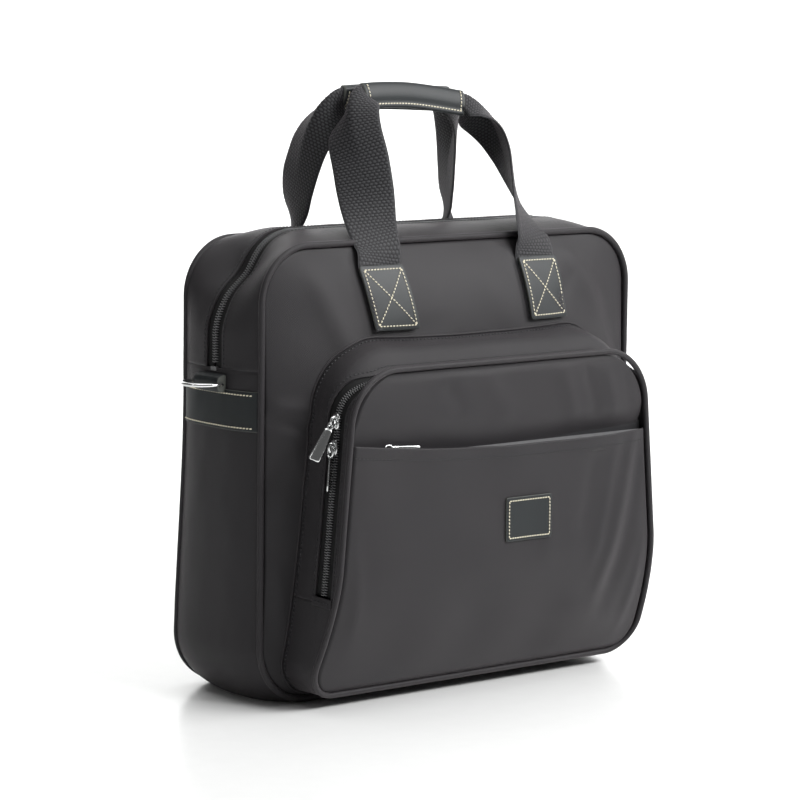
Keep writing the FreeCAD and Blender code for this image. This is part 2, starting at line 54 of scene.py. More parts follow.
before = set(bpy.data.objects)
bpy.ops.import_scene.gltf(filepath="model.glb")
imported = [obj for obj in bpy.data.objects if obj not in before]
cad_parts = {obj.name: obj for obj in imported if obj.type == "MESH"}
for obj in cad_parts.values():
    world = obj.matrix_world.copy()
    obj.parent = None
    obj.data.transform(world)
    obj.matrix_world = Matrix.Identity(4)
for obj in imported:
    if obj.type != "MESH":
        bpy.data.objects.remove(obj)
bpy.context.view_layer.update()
MM = 0.001
SIDES = (("front", -1), ("rear", 1))


# ---------------------------------------------------------------- sizes that the frame gives

def node_mm(*names):
    """Lowest and highest corner of CAD nodes together, in millimetres about the gusset's middle plane."""
    corners = np.array([[list(c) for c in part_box(name)] for name in names]) / MM
    low, high = corners[:, 0].min(0), corners[:, 1].max(0)
    return low - (0, MIDDLE, 0), high - (0, MIDDLE, 0)


MIDDLE = (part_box("front_piping")[0].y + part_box("rear_piping_lower")[1].y) / 2 / MM
PIPE_LOW, PIPE_HIGH = node_mm("front_piping")
PIPE_R = 2.5
PIPE_INSET = 2.9                         # from the bag's outline in to the middle of the piping
HALF_W = PIPE_HIGH[0] + PIPE_INSET - PIPE_R
TOP = PIPE_HIGH[2] + PIPE_INSET - PIPE_R
PIPE_Y = -(PIPE_LOW[1] + PIPE_R)
EDGE_Y = PIPE_Y - PIPE_R - 0.2           # the gusset's edge
CORNER_R = 46.0
BULGE = node_mm("front_zip_strip")[1][2] - TOP
EDGE_INSET = 1.5
FRONT_DOME = -node_mm("front_panel")[0][1] - EDGE_Y
REAR_DOME = node_mm("rear_panel_lower")[1][1] - EDGE_Y
ZIP_END = node_mm("main_zip_end_stops")[0][2]
ROW_START = node_mm("main_zip_coil_front")[0][2]
BAND_LOW, BAND_HIGH = (corner[2] for corner in node_mm("side_band_left"))
FOLD_START, FOLD_END = ZIP_END - 1.0, ZIP_END + 24.0     # heights for the rear flap's bend, kept in REAR_FOLD; the cloth is not bent
WINDOW = 9.0                             # from a zip's middle to the cloth beside it
TAPE_DEPTH = 1.7                         # from the cloth's face down to the tapes beneath it
TAPE_WIDTH = 0.0105                      # flat width of a tape, in metres

POCKET_LOW, POCKET_HIGH = node_mm("pocket_piping")
POCKET_FACE = -POCKET_LOW[1]
POCKET_TOP = POCKET_HIGH[2]
POCKET_FOOT = POCKET_LOW[2]
POCKET_FOOT_HALF = 170.0
POCKET_TAPER = 0.087                     # how much narrower each side gets per millimetre of height
POCKET_SLOPE = 0.4                       # rise of the pocket's top towards the panel
POCKET_RADII = (28.0, 46.0, 46.0, 28.0)
POCKET_RADII_REAR = (28.0, 66.0, 66.0, 28.0)
POCKET_PIPE_R = 2.3
POCKET_ZIP_Y = -93.0
POCKET_ZIP_END = node_mm("pocket_zip_end_tabs")[0][2]
POCKET_ROW_START = node_mm("pocket_zip_coil_front")[0][2]
BELLY_Z, TOE_Z, TOE_DEPTH = 110.0, 6.0, 34.0
COIL_PITCH = 2.0
LEG_X = 78.0
PATCH_LOW, PATCH_TOP = 281.5, node_mm("front_patches")[1][2]
PATCH_HALF = 20.0
HINGE_Z = node_mm("front_webbing")[0][2] + 1.0
THREAD_R = 0.5


# ---------------------------------------------------------------- arrays and meshes

def unit(vectors):
    """Vectors divided by their lengths."""
    return vectors / np.maximum(np.linalg.norm(vectors, axis=-1, keepdims=True), 1e-12)


def smooth(value, low=0.0, high=1.0):
    """0 below low, 1 above high and 3t^2 - 2t^3 between them."""
    t = np.clip((value - low) / (high - low), 0.0, 1.0)
    return t * t * (3.0 - 2.0 * t)


def circle(count):
    """Angles spaced evenly round a circle."""
    return np.arange(count) * 2 * np.pi / count


def lengths(points, axis, closed):
    """Distance in metres along one axis of a grid, averaged over the other axis."""
    steps = np.linalg.norm(np.diff(points, axis=axis), axis=-1).mean(axis=1 - axis)
    if closed:
        ends = np.take(points, 0, axis) - np.take(points, -1, axis)
        steps = np.append(steps, np.linalg.norm(ends, axis=-1).mean())
    return np.concatenate([[0.0], np.cumsum(steps)]) * MM


def part(points, faces, uv, cut=None):
    """A piece of mesh: points, lists of faces and their corners' UVs, and how much each point is a cut edge or,
    on the webbing, a gap between ribs painted dark as shade.
    """
    points = np.asarray(points, float).reshape(-1, 3)
    cut = np.zeros(len(points)) if cut is None else np.asarray(cut, float).ravel()
    return {"points": points, "faces": faces, "uv": uv, "cut": cut}


def grid(points, wrap=(False, False), cut=None):
    """Quads over a grid of points; a wrapped axis joins its last line to its first.  UVs are in metres."""
    rows, cols = points.shape[:2]
    i, j = np.meshgrid(np.arange(rows - (not wrap[0])), np.arange(cols - (not wrap[1])), indexing="ij")
    ci = np.stack([i, i + 1, i + 1, i], -1).reshape(-1, 4)
    cj = np.stack([j, j, j + 1, j + 1], -1).reshape(-1, 4)
    u, v = lengths(points, 0, wrap[0]), lengths(points, 1, wrap[1])
    faces = (ci % rows) * cols + cj % cols
    return part(points, [faces], [np.stack([u[ci], v[cj]], -1)], cut)


def capped(made, rows, cols, ends=(True, True)):
    """A grid whose rings wrap along its second axis, closed by fans at its first and last ring."""
    points, cut, faces, uv = made["points"], made["cut"], list(made["faces"]), list(made["uv"])
    flat = made["points"][:, [0, 2]] * MM
    j = np.arange(cols)
    for number, first in enumerate((0, (rows - 1) * cols)):
        if not ends[number]:
            continue
        ring = np.stack([first + j, first + (j + 1) % cols], -1)
        fan = np.column_stack([ring if number == 0 else ring[:, ::-1], np.full(cols, len(points))])
        middle = points[first:first + cols].mean(0, keepdims=True)
        points, cut = np.concatenate([points, middle]), np.append(cut, cut[first:first + cols].mean())
        flat = np.concatenate([flat, middle[:, [0, 2]] * MM])
        faces.append(fan)
        uv.append(flat[fan])
    return dict(made, points=points, cut=cut, faces=faces, uv=uv)


def flipped(made):
    """The same piece with its faces turned over."""
    return dict(made, faces=[f[:, ::-1] for f in made["faces"]], uv=[w[:, ::-1] for w in made["uv"]])


def outward(made, centre=None):
    """The piece with its faces pointing away from a point, or from its own middle where no point is given."""
    p = made["points"]
    total = 0.0
    origin = p.mean(0) if centre is None else np.asarray(centre, float)
    for f in made["faces"]:
        a, b, c = p[f[:, 0]], p[f[:, 1]], p[f[:, 2]]
        normal = np.cross(b - a, c - a)
        if f.shape[1] == 4:
            normal = normal + np.cross(c - a, p[f[:, 3]] - a)
        total += np.einsum("ij,ij->", normal, p[f].mean(1) - origin)
    return made if total > 0 else flipped(made)


def moved(made, origin, axes):
    """A piece taken from its own frame to a place; axes are its own X, Y and Z as rows."""
    return dict(made, points=np.asarray(origin, float) + made["points"] @ np.asarray(axes, float))


def repeat(shape, origins, axes):
    """Copies of one small shape, one for each origin, each turned by its own three axes."""
    count, size = len(origins), len(shape["points"])
    points = origins[:, None] + np.einsum("pk,nkd->npd", shape["points"], axes)
    step = (np.arange(count) * size)[:, None, None]
    faces = [(f[None] + step).reshape(-1, f.shape[1]) for f in shape["faces"]]
    uv = [np.broadcast_to(w, (count,) + w.shape).reshape(-1, *w.shape[1:]) for w in shape["uv"]]
    return part(points, faces, uv, np.tile(shape["cut"], count))


def join(parts):
    """Several pieces as one."""
    start, faces, uv = 0, [], []
    for made in parts:
        faces += [f + start for f in made["faces"]]
        uv += list(made["uv"])
        start += len(made["points"])
    points = np.concatenate([m["points"] for m in parts])
    return part(points, faces, uv, np.concatenate([m["cut"] for m in parts]))


def area_of(made):
    """Area of a piece in square metres."""
    total, p = 0.0, made["points"] * MM
    for f in made["faces"]:
        a, b, c, d = (p[f[:, k]] for k in (0, 1, 2, -1))
        total += np.linalg.norm(np.cross(b - a, c - a), axis=1).sum() / 2
        if f.shape[1] == 4:
            total += np.linalg.norm(np.cross(c - a, d - a), axis=1).sum() / 2
    return float(total)


def build(name, parts, finish, slot, body=None, bends=None, stands_for=(), thick=0.0):
    """Makes a mesh object from parts, in metres in the model's frame, and ties it to its body.

    bends is (body, body, start, end) in millimetres for cloth that crosses a joint; only whether it is given is
    read, and such a piece keeps its place in the model's frame, tied to no body and not bent.  thick adds a
    wall on the inner side.
    """
    whole = join(parts if isinstance(parts, list) else [parts])
    points = (whole["points"] + (0, MIDDLE, 0)) * MM
    sizes = np.concatenate([np.full(len(f), f.shape[1]) for f in whole["faces"]])
    corners = np.concatenate([f.ravel() for f in whole["faces"]]).astype(np.int32)
    mesh = bpy.data.meshes.new(name)
    mesh.vertices.add(len(points))
    mesh.vertices.foreach_set("co", points.astype(np.float32).ravel())
    mesh.loops.add(len(corners))
    mesh.loops.foreach_set("vertex_index", corners)
    mesh.polygons.add(len(sizes))
    mesh.polygons.foreach_set("loop_start", np.concatenate([[0], np.cumsum(sizes)[:-1]]).astype(np.int32))
    mesh.update(calc_edges=True)
    mesh.polygons.foreach_set("use_smooth", np.ones(len(sizes), bool))
    layer = mesh.uv_layers.new(name="surface")
    uv = np.concatenate([w.reshape(-1, 2) for w in whole["uv"]])
    layer.data.foreach_set("uv", uv.astype(np.float32).ravel())
    attribute = mesh.attributes.new("cut", "FLOAT", "POINT")
    attribute.data.foreach_set("value", whole["cut"].astype(np.float32))
    mesh.validate()
    piece = bpy.data.objects.new(name, mesh)
    bpy.context.scene.collection.objects.link(piece)
    mesh.materials.append(FINISHES[finish])
    if thick:
        wall = piece.modifiers.new("wall", "SOLIDIFY")
        wall.thickness = thick * MM
        wall.offset = -1.0
        wall.use_even_offset = False
    if bends:
        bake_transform(piece)
    else:
        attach(piece, body)
    if stands_for:
        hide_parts(*stands_for)
    return piece


def tube(path, radius, sides=12, closed=False, out=(0.0, 1.0, 0.0), flat=1.0):
    """Tube along a line: a ring about each point, square to the line; flat scales the rings along out."""
    path = np.asarray(path, float)
    ahead = np.roll(path, -1, 0) - np.roll(path, 1, 0) if closed else np.gradient(path, axis=0)
    tangent = unit(ahead)
    side = unit(np.cross(tangent, np.broadcast_to(out, path.shape)))
    up = np.cross(side, tangent)
    angle = circle(sides)
    ring = side[:, None] * np.cos(angle)[None, :, None] + flat * up[:, None] * np.sin(angle)[None, :, None]
    points = path[:, None] + ring * np.broadcast_to(radius, (len(path),))[:, None, None]
    made = grid(points, (closed, True))
    return outward(made if closed else capped(made, len(path), sides))


def curve(points, count):
    """Smooth line through points: a Catmull-Rom curve sampled evenly along its length."""
    p = np.asarray(points, float)
    p = np.concatenate([2 * p[:1] - p[1:2], p, 2 * p[-1:] - p[-2:-1]])
    t = np.linspace(0, len(p) - 3 - 1e-9, 40 * len(p))
    i = t.astype(int)
    f = (t - i)[:, None]
    a, b, c, d = (p[i + k] for k in range(4))
    line = 0.5 * (2 * b + (c - a) * f + (2 * a - 5 * b + 4 * c - d) * f ** 2
                  + (3 * b - a - 3 * c + d) * f ** 3)
    return resampled(line, count)


def resampled(line, count):
    """Points evenly spaced along a line, whatever its number of columns; the first three are its place."""
    run = np.concatenate([[0], np.cumsum(np.linalg.norm(np.diff(line[:, :3], axis=0), axis=1))])
    at = np.linspace(0, run[-1], count)
    return np.stack([np.interp(at, run, column) for column in line.T], -1)


def stitch_shape(length, radius):
    """One stitch: a six-sided capsule, fat in the middle and tucked in at its ends."""
    x = np.array([-0.5, -0.34, 0.34, 0.5]) * length
    r = np.array([0.45, 1.0, 1.0, 0.45]) * radius
    z = np.array([-0.5, 0.0, 0.0, -0.5]) * radius
    angle = np.arange(6) * np.pi / 3
    points = np.stack([np.broadcast_to(x[:, None], (4, 6)), r[:, None] * np.cos(angle),
                       z[:, None] + r[:, None] * np.sin(angle)], -1)
    return outward(capped(grid(points, (False, True)), 4, 6))


def stitches(line, normals, pitch, share=0.68, radius=THREAD_R, slant=0.12, lift=0.18, closed=False):
    """A row of stitches along a line, one for each pitch, slanted a little and raised along the normals."""
    joined = np.concatenate([line, normals], 1)
    if closed:
        joined = np.concatenate([joined, joined[:1]])
    total = np.linalg.norm(np.diff(joined[:, :3], axis=0), axis=1).sum()
    count = max(int(round(total / pitch)), 2)
    even = resampled(joined, 4 * count + 1)
    middle = even[2::4]
    along = unit(even[3::4][:count, :3] - even[1::4][:count, :3])
    normal = unit(middle[:count, 3:])
    across = unit(np.cross(normal, along))
    turned = unit(along + slant * across)
    axes = np.stack([turned, np.cross(normal, turned), normal], 1)
    return repeat(stitch_shape(total / count * share, radius), middle[:count, :3] + normal * lift, axes)


def slab(half_sizes, corner, thickness, surface, rim=0.35, rings=9, count=72):
    """Flat piece with rounded corners and edges laid on a surface.

    Its outline is a rounded rectangle; rings shrink towards its middle at full height, and at the edge they
    step down to the surface.  surface(a, b, h) gives the place of a point at a, b and height h.
    """
    a, b = half_sizes
    loop, normal = rounded([(-a, -b), (-a, b), (a, b), (a, -b)], [corner] * 4, 9, 9)
    at = np.linspace(0, len(loop), count, endpoint=False)
    index = np.arange(len(loop))
    line = np.stack([np.interp(at, index, c, period=len(loop)) for c in loop.T], -1)
    out = np.stack([np.interp(at, index, c, period=len(loop)) for c in normal.T], -1)
    scale = np.linspace(0.04, 1.0, rings)
    t = thickness
    rows = [(s * (line - out * rim), t, 0.0) for s in scale]
    rows += [(line - out * 0.3 * rim, t - 0.3 * rim, 0.5), (line, t - rim, 1.0), (line, 0.0, 1.0)]
    rows += [(0.04 * line, 0.0, 1.0)]
    flat = np.stack([np.column_stack([p, np.full(count, h)]) for p, h, _ in rows])
    cut = np.repeat([c for _, _, c in rows], count)
    points = surface(flat[..., 0], flat[..., 1], flat[..., 2])
    made = capped(grid(points, (False, True), cut), len(rows), count)
    return outward(made)


# ---------------------------------------------------------------- outlines

def rounded(corners, radii, arc=40, run=60):
    """Closed line through corners in X and Z, each rounded to its radius, and its outward normals.

    The corners go clockwise as seen from the front, from the lower left; the line starts at the middle of
    its lower side.  Every arc and every straight run has the same number of points whatever its size.
    """
    corners = np.asarray(corners, float)
    before = unit(np.roll(corners, 1, 0) - corners)
    after = unit(np.roll(corners, -1, 0) - corners)
    half = np.arccos(np.clip((before * after).sum(1), -1, 1)) / 2
    radii = np.asarray(radii, float)
    reach = radii / np.tan(half)
    centre = corners + unit(before + after) * (radii / np.sin(half))[:, None]
    start, end = corners + before * reach[:, None], corners + after * reach[:, None]
    line, normals = [], []
    for i in range(4):
        a0, a1 = (np.arctan2(*(p[i] - centre[i])[::-1]) for p in (start, end))
        sweep = (a1 - a0 + np.pi) % (2 * np.pi) - np.pi
        angle = a0 + sweep * np.linspace(0, 1, arc)
        out = np.stack([np.cos(angle), np.sin(angle)], -1)
        line.append(centre[i] + radii[i] * out)
        normals.append(out)
        nxt = (i + 1) % 4
        share = np.linspace(0, 1, run + 2)[1:-1, None]
        line.append(end[i] * (1 - share) + start[nxt] * share)
        direction = start[nxt] - end[i]
        normals.append(np.broadcast_to(unit(np.array([-direction[1], direction[0]])), (run, 2)))
    line, normals = np.concatenate(line), np.concatenate(normals)
    shift = run // 2
    return np.roll(line, shift, 0), np.roll(normals, shift, 0)


BODY_LINE, BODY_NORMAL = rounded([(-HALF_W, 0), (-HALF_W, TOP), (HALF_W, TOP), (HALF_W, 0)], [CORNER_R] * 4)
_steps = np.linalg.norm(np.roll(BODY_LINE, -1, 0) - BODY_LINE, axis=1)
BODY_RUN = np.concatenate([[0], np.cumsum(_steps)[:-1]])
BODY_LENGTH = float(_steps.sum())


def body_line(s):
    """The bag's outline and its normal at distances from the middle of its foot, going up the left side."""
    pick = [np.interp(s, BODY_RUN, c, period=BODY_LENGTH) for c in (*BODY_LINE.T, *BODY_NORMAL.T)]
    return np.stack(pick[:2], -1), unit(np.stack(pick[2:], -1))


def run_at_height(z):
    """Distance along the left side of the outline at a height above the lower corner."""
    return HALF_W - CORNER_R + CORNER_R * math.pi / 2 + (z - CORNER_R)


def ripple(a, b, seed, size=60.0, depth=1.0):
    """Slow unevenness of soft cloth: a sum of five sine waves with fixed random directions and phases."""
    draw = np.random.default_rng(seed)
    total = 0.0
    for _ in range(5):
        angle, phase, scale = draw.uniform(0, 2 * np.pi, 2).tolist() + [draw.uniform(0.7, 1.6)]
        total = total + np.sin((a * math.cos(angle) + b * math.sin(angle)) * 2 * np.pi * scale / size + phase)
    return depth * total / 5


def creases(a, b, rows):
    """Soft folds: each row is a line from one point to another with a width and a height.

    The height falls off as a bell across the line and fades out past its ends.
    """
    total = 0.0
    for a0, b0, a1, b1, width, height in rows:
        length = math.hypot(a1 - a0, b1 - b0)
        ta, tb = (a1 - a0) / length, (b1 - b0) / length
        t = ((a - a0) * ta + (b - b0) * tb) / length
        off = (a - a0) * -tb + (b - b0) * ta
        fade = smooth(t, -0.25, 0.2) * (1 - smooth(t, 0.8, 1.25))
        total = total + height * fade * np.exp(-((off / width) ** 2))
    return total


REAR_FLARE, FLARE_TOP = 12.0, 230.0      # how far the rear edge spreads, and the height where it ends
SAG_DEPTH, SAG_HALF = 21.0, 46.0         # how far the upper corners sink, and half the width that sinks
SAG_START, SAG_RUN = 276.0, 118.0        # the height where it starts, and its length along the outline


def rear_flare(z):
    """How far the rear edge of the bag spreads out near the floor."""
    return REAR_FLARE * (1 - smooth(z, 10.0, FLARE_TOP))


def corner_sag(s, y):
    """How far the gusset sinks between the pipings at the two upper corners: a bell along the outline."""
    near = np.minimum(np.asarray(s), BODY_LENGTH - np.asarray(s)) % BODY_LENGTH
    t = np.clip((near - run_at_height(SAG_START)) / SAG_RUN, 0, 1)
    return SAG_DEPTH * np.sin(np.pi * t) ** 2 * (1 - np.clip(np.abs(y) / SAG_HALF, 0, 1) ** 2) ** 1.3


def gusset_point(s, y, lift=0.0):
    """Place on the gusset: bulged in its middle, flat on the floor, sunk at its corners, raised by lift."""
    line, normal = body_line(s)
    y = np.broadcast_to(y, np.broadcast_shapes(np.shape(s), np.shape(y)))
    line, normal = np.broadcast_to(line, y.shape + (2,)), np.broadcast_to(normal, y.shape + (2,))
    inset = EDGE_INSET - (BULGE + EDGE_INSET) * (1 - np.abs(y / EDGE_Y) ** 3)
    soft = ripple(line[..., 0] + line[..., 1], y * 1.5, 3, 75, 0.7) * (1 - np.abs(y / EDGE_Y) ** 2)
    soft = soft * smooth(np.abs(y), 8, 22) * smooth(line[..., 1], 20, 60)
    out = np.asarray(lift) - inset + soft - corner_sag(s, y)
    flat = line + normal * out[..., None]
    z = np.maximum(flat[..., 1], np.broadcast_to(lift, y.shape))
    spread = rear_flare(z) * smooth(y, 10, EDGE_Y)
    return np.stack([flat[..., 0], y + spread, z], -1)


def gusset_normal(s, y):
    """Outward normal of the gusset without its soft unevenness."""
    _, normal = body_line(s)
    y = np.broadcast_to(y, np.broadcast_shapes(np.shape(s), np.shape(y)))
    slope = 3 * (BULGE + EDGE_INSET) * np.sign(y) * (y / EDGE_Y) ** 2 / EDGE_Y
    normal = np.broadcast_to(normal, y.shape + (2,))
    return unit(np.stack([normal[..., 0], slope, normal[..., 1]], -1))


FRONT_FOLDS = [(-140, 326, -116, 262, 11, 1.6), (-187, 219, -152, 212, 5, -1.9),
               (-187, 230, -150, 224, 6, 1.4), (-176, 224, -158, 180, 9, 1.1),
               (8, 334, 44, 282, 16, 1.2), (108, 336, 150, 286, 13, 1.8), (150, 306, 174, 236, 9, -1.3),
               (118, 318, 92, 288, 7, -0.8), (-100, 270, -30, 284, 9, -0.8), (-178, 110, -162, 40, 8, 1.2)]
REAR_FOLDS = [(-150, 320, -120, 240, 14, 1.4), (60, 330, 130, 250, 15, 1.2), (-60, 90, 40, 60, 20, -1.0),
              (-170, 90, -120, 30, 12, 1.4), (172, 100, 120, 26, 12, 1.4)]


def pillow(x, z, side):
    """How far a panel stands out from the gusset's edge.

    It is dome (1 - |x|^p) (1 - z^4) plus soft folds, with x and z from -1 to 1 over the panel; p falls from
    4 to 2.4 near the top.
    """
    across = np.clip(np.abs(x) / HALF_W, 0, 1)
    up = np.clip((z - TOP / 2) / (TOP / 2), -1, 1)
    power = 4.0 - 1.6 * smooth(up, 0.1, 0.75)
    dome = FRONT_DOME if side < 0 else REAR_DOME
    level = dome * (1 - across ** power) * (1 - up ** 4)
    rows = FRONT_FOLDS if side < 0 else REAR_FOLDS
    soft = ripple(x, z, 5 if side < 0 else 6, 130, 1.1) + creases(x, z, rows)
    return level + soft * smooth(level, 1.0, 9.0)


def panel_point(x, z, side, lift=0.0):
    """Place on the front (side -1) or rear (side 1) panel, raised along its normal."""
    step = 0.5
    y = pillow(x, z, side)
    slope_x = (pillow(x + step, z, side) - pillow(x - step, z, side)) / (2 * step)
    slope_z = (pillow(x, z + step, side) - pillow(x, z - step, side)) / (2 * step)
    normal = unit(np.stack([-slope_x, np.full_like(slope_x, side), -slope_z], -1))
    edge = EDGE_Y + (rear_flare(z) if side > 0 else 0.0)
    place = np.stack([x + 0 * y, side * (edge + y), z + 0 * y], -1)
    return place + normal * np.asarray(lift)[..., None], normal


# ---------------------------------------------------------------- pocket shapes

def pocket_outline(y):
    """The pocket's outline at a distance in front, inset to its cloth."""
    low, high = POCKET_FOOT, POCKET_TOP + POCKET_SLOPE * (y + POCKET_FACE)
    foot, head = (POCKET_FOOT_HALF - POCKET_TAPER * (z - POCKET_FOOT) for z in (low, high))
    share = np.clip((y + POCKET_FACE) / (POCKET_FACE - EDGE_Y), 0, 1)
    radii = [a + (b - a) * share for a, b in zip(POCKET_RADII, POCKET_RADII_REAR)]
    return rounded([(-foot, low), (-head, high), (head, high), (foot, low)], radii)


POCKET_REAR_Y = -EDGE_Y
POCKET_FRONT_LINE, POCKET_NORMAL = pocket_outline(-POCKET_FACE)
POCKET_REAR_LINE, _ = pocket_outline(POCKET_REAR_Y)
_steps = np.linalg.norm(np.roll(POCKET_FRONT_LINE, -1, 0) - POCKET_FRONT_LINE, axis=1)
POCKET_RUN = np.concatenate([[0], np.cumsum(_steps)])
POCKET_LENGTH = float(POCKET_RUN[-1])
POCKET_INSET = 0.8
POCKET_DIP = 9.5                         # how far the cloth behind the top piping sinks


def pocket_line(s, y):
    """The pocket's outline and outward normals at distances along it and at distances in front."""
    index = np.interp(np.asarray(s) % POCKET_LENGTH, POCKET_RUN, np.arange(len(POCKET_RUN)))
    every = np.arange(len(POCKET_NORMAL))
    pick = [np.interp(index, every, c, period=len(every))
            for c in (*POCKET_FRONT_LINE.T, *POCKET_REAR_LINE.T, *POCKET_NORMAL.T)]
    share = (y + POCKET_FACE) / (POCKET_REAR_Y + POCKET_FACE)
    line = np.stack([pick[0] + (pick[2] - pick[0]) * share, pick[1] + (pick[3] - pick[1]) * share], -1)
    normal = unit(np.stack(pick[4:], -1))
    return line, np.broadcast_to(normal, line.shape)


def pocket_run_at(z):
    """Distance along the left side of the pocket's outline at a height, on its straight part."""
    return float(np.interp(z, POCKET_FRONT_LINE[60:170, 1], POCKET_RUN[60:170]))


def face_y(z):
    """Front of the pocket at a height: upright above its belly and curving back to its toe."""
    return -POCKET_FACE + TOE_DEPTH * np.clip((BELLY_Z - z) / (BELLY_Z - TOE_Z), 0, 1) ** 1.6


def on_top(s):
    """1 along the pocket's top, 0 along its sides and foot."""
    _, normal = pocket_line(s, -POCKET_FACE)
    return smooth(np.degrees(np.arcsin(np.clip(normal[..., 1], -1, 1))), 12, 72)


def zip_y(s):
    """The pocket zip's middle: it runs closer behind the piping along the top."""
    return POCKET_ZIP_Y - 8.5 * on_top(s)


def zip_window(s):
    """Half width of the opening in the cloth beside the pocket's zip."""
    return WINDOW - 4.2 * on_top(s)


def seam_y(s):
    """Where the pocket's cloth meets the front panel, found by eight rounds of moving onto the panel."""
    y = np.full(np.shape(s), -68.0)
    for _ in range(8):
        line, _ = pocket_line(s, y)
        y = -(EDGE_Y + pillow(line[..., 0], line[..., 1], -1))
    return y


def pocket_point(s, y, lift=0.0):
    """Place on the pocket's side cloth; along the top it dips behind the piping."""
    y = np.broadcast_to(y, np.broadcast_shapes(np.shape(s), np.shape(y)))
    s = np.broadcast_to(s, y.shape)
    line, normal = pocket_line(s, y)
    dip = POCKET_DIP * smooth(-y, 84.0, 98.5) * on_top(s)
    soft = ripple(line[..., 0] - line[..., 1], y * 2, 11, 90, 0.9)
    soft = soft * smooth(-y, 70, 80) * (1 - smooth(-y, 84, 92))
    out = np.asarray(lift) - POCKET_INSET - dip + soft
    flat = line + normal * out[..., None]
    return np.stack([flat[..., 0], y, flat[..., 1]], -1)


MOUTH_X = np.array([-160, -150, -120, -80, -55, -5, 60, 110, 152, 160.0])
MOUTH_Z = np.array([204.5, 203.6, 200.3, 196.8, 195.2, 192.8, 192.4, 193.0, 194.4, 194.8])
SLIP_FOLDS = [(150, 190, 116, 62, 8, -2.0), (134, 186, 104, 74, 7, 1.9), (114, 182, 94, 96, 7, 1.2),
              (160, 168, 142, 40, 6, 1.3), (92, 178, 80, 120, 7, -0.8), (-30, 60, 60, 30, 12, -0.9),
              (70, 60, 140, 40, 9, 1.2), (-150, 150, -140, 60, 7, 0.8), (40, 150, 44, 100, 9, 0.6)]
UPPER_FOLDS = [(58, 246, 74, 204, 8, 1.1), (84, 246, 96, 208, 6, -1.2), (104, 246, 118, 204, 7, 1.3),
               (126, 244, 136, 204, 6, -1.1), (-20, 246, 4, 216, 9, 0.8), (-60, 244, -44, 222, 8, -0.7)]


def mouth_z(x):
    """Height of the slip pocket's mouth: it sags between its ends."""
    return np.interp(x, MOUTH_X, MOUTH_Z)


def face_half(z, inset):
    """Half width of the pocket's face at a height, rounded at its corners."""
    side = POCKET_FOOT_HALF - POCKET_TAPER * (z - POCKET_FOOT) - inset
    foot_r, head_r = POCKET_RADII[0] - inset, POCKET_RADII[1] - inset
    low = np.clip((POCKET_FOOT + inset + foot_r - z) / foot_r, 0, 1)
    high = np.clip((z - (POCKET_TOP - inset - head_r)) / head_r, 0, 1)
    return side - foot_r * (1 - np.sqrt(1 - low ** 2)) - head_r * (1 - np.sqrt(1 - high ** 2))


def slip_y(x, z):
    """Front of the slip pocket's cloth: the face with a belly, a tuck at the piping and soft folds."""
    across = np.clip(np.abs(x) / np.maximum(face_half(z, 4.2), 1.0), 0, 1)
    up = np.clip((z - POCKET_FOOT) / (POCKET_TOP - POCKET_FOOT), 0, 1)
    crown = (1 - across ** 5) * (1 - np.abs(2 * up - 1) ** 6)
    gape = 2.6 * np.exp(-((z - mouth_z(x)) / 16.0) ** 2) * smooth(x, 10, 110) * (1 - across ** 8)
    soft = ripple(x, z, 21, 110, 0.9) + creases(x, z, SLIP_FOLDS)
    return face_y(z) + 1.6 - 4.2 * crown - gape - soft * smooth(crown, 0.02, 0.5)


def upper_y(x, z):
    """Front of the cloth above the slip pocket: it fills out under the piping and sinks into the mouth."""
    across = np.clip(np.abs(x) / np.maximum(face_half(z, 4.2), 1.0), 0, 1)
    rise = z - mouth_z(x)
    hump = smooth(rise, -4, 34) * (1 - smooth(z, POCKET_TOP - 16, POCKET_TOP - 2) ** 2)
    soft = ripple(x, z, 22, 90, 0.8) + creases(x, z, UPPER_FOLDS)
    sink = 3.4 * np.exp(-((rise - 2.0) / 11.0) ** 2) * (0.45 + 0.55 * smooth(x, -20, 90))
    level = -POCKET_FACE + 2.2 - 3.4 * hump * (1 - across ** 5) + 3.2 * (1 - smooth(rise, -6, 24)) + sink
    return level - soft * smooth(rise, 0, 20) * (1 - across ** 6)


# ---------------------------------------------------------------- small shapes

def tooth():
    """One loop of a zip's coil: it rises beside the middle, passes over and goes down to the tape."""
    path = [(0, 0.25, -0.6), (0, 0.3, 0.3), (0, 1.0, 0.72), (0, 2.1, 0.68), (0, 2.9, 0.1), (0, 3.1, -0.7)]
    radius = np.array([0.42, 0.52, 0.44, 0.4, 0.4, 0.36])
    return tube(curve(path, 6), radius, sides=5, out=(1.0, 0.0, 0.0))


def coil_row(line, normals, side, shift):
    """Teeth along a line at one pitch, leaning a little; side turns them to the other side of the middle."""
    joined = np.concatenate([line, normals], 1)
    total = np.linalg.norm(np.diff(line, axis=0), axis=1).sum()
    count = int(total / COIL_PITCH)
    even = resampled(joined, 4 * count + 1)
    middle = even[1 + shift::4][:count - 1]
    along = unit(even[2 + shift::4][:count - 1, :3] - even[shift::4][:count - 1, :3])
    normal = unit(middle[:, 3:])
    across = unit(np.cross(normal, along))
    lean = unit(across + 0.16 * along)
    axes = np.stack([np.cross(lean, normal), lean, normal], 1)
    if side < 0:
        axes = np.stack([-axes[:, 0], -axes[:, 1], axes[:, 2]], 1)
    return repeat(tooth(), middle[:, :3] - 1.15 * normal, axes)


def sheet_grid(s, y, point, lift=0.0):
    """Grid over distances along an outline and distances in front of the middle plane."""
    return grid(point(np.asarray(s)[:, None], y, lift))


HEM_Y = np.array([0.45, 0.1, 0.0, 0.3])
HEM_LIFT = np.array([-0.05, -0.4, -0.95, -1.7])


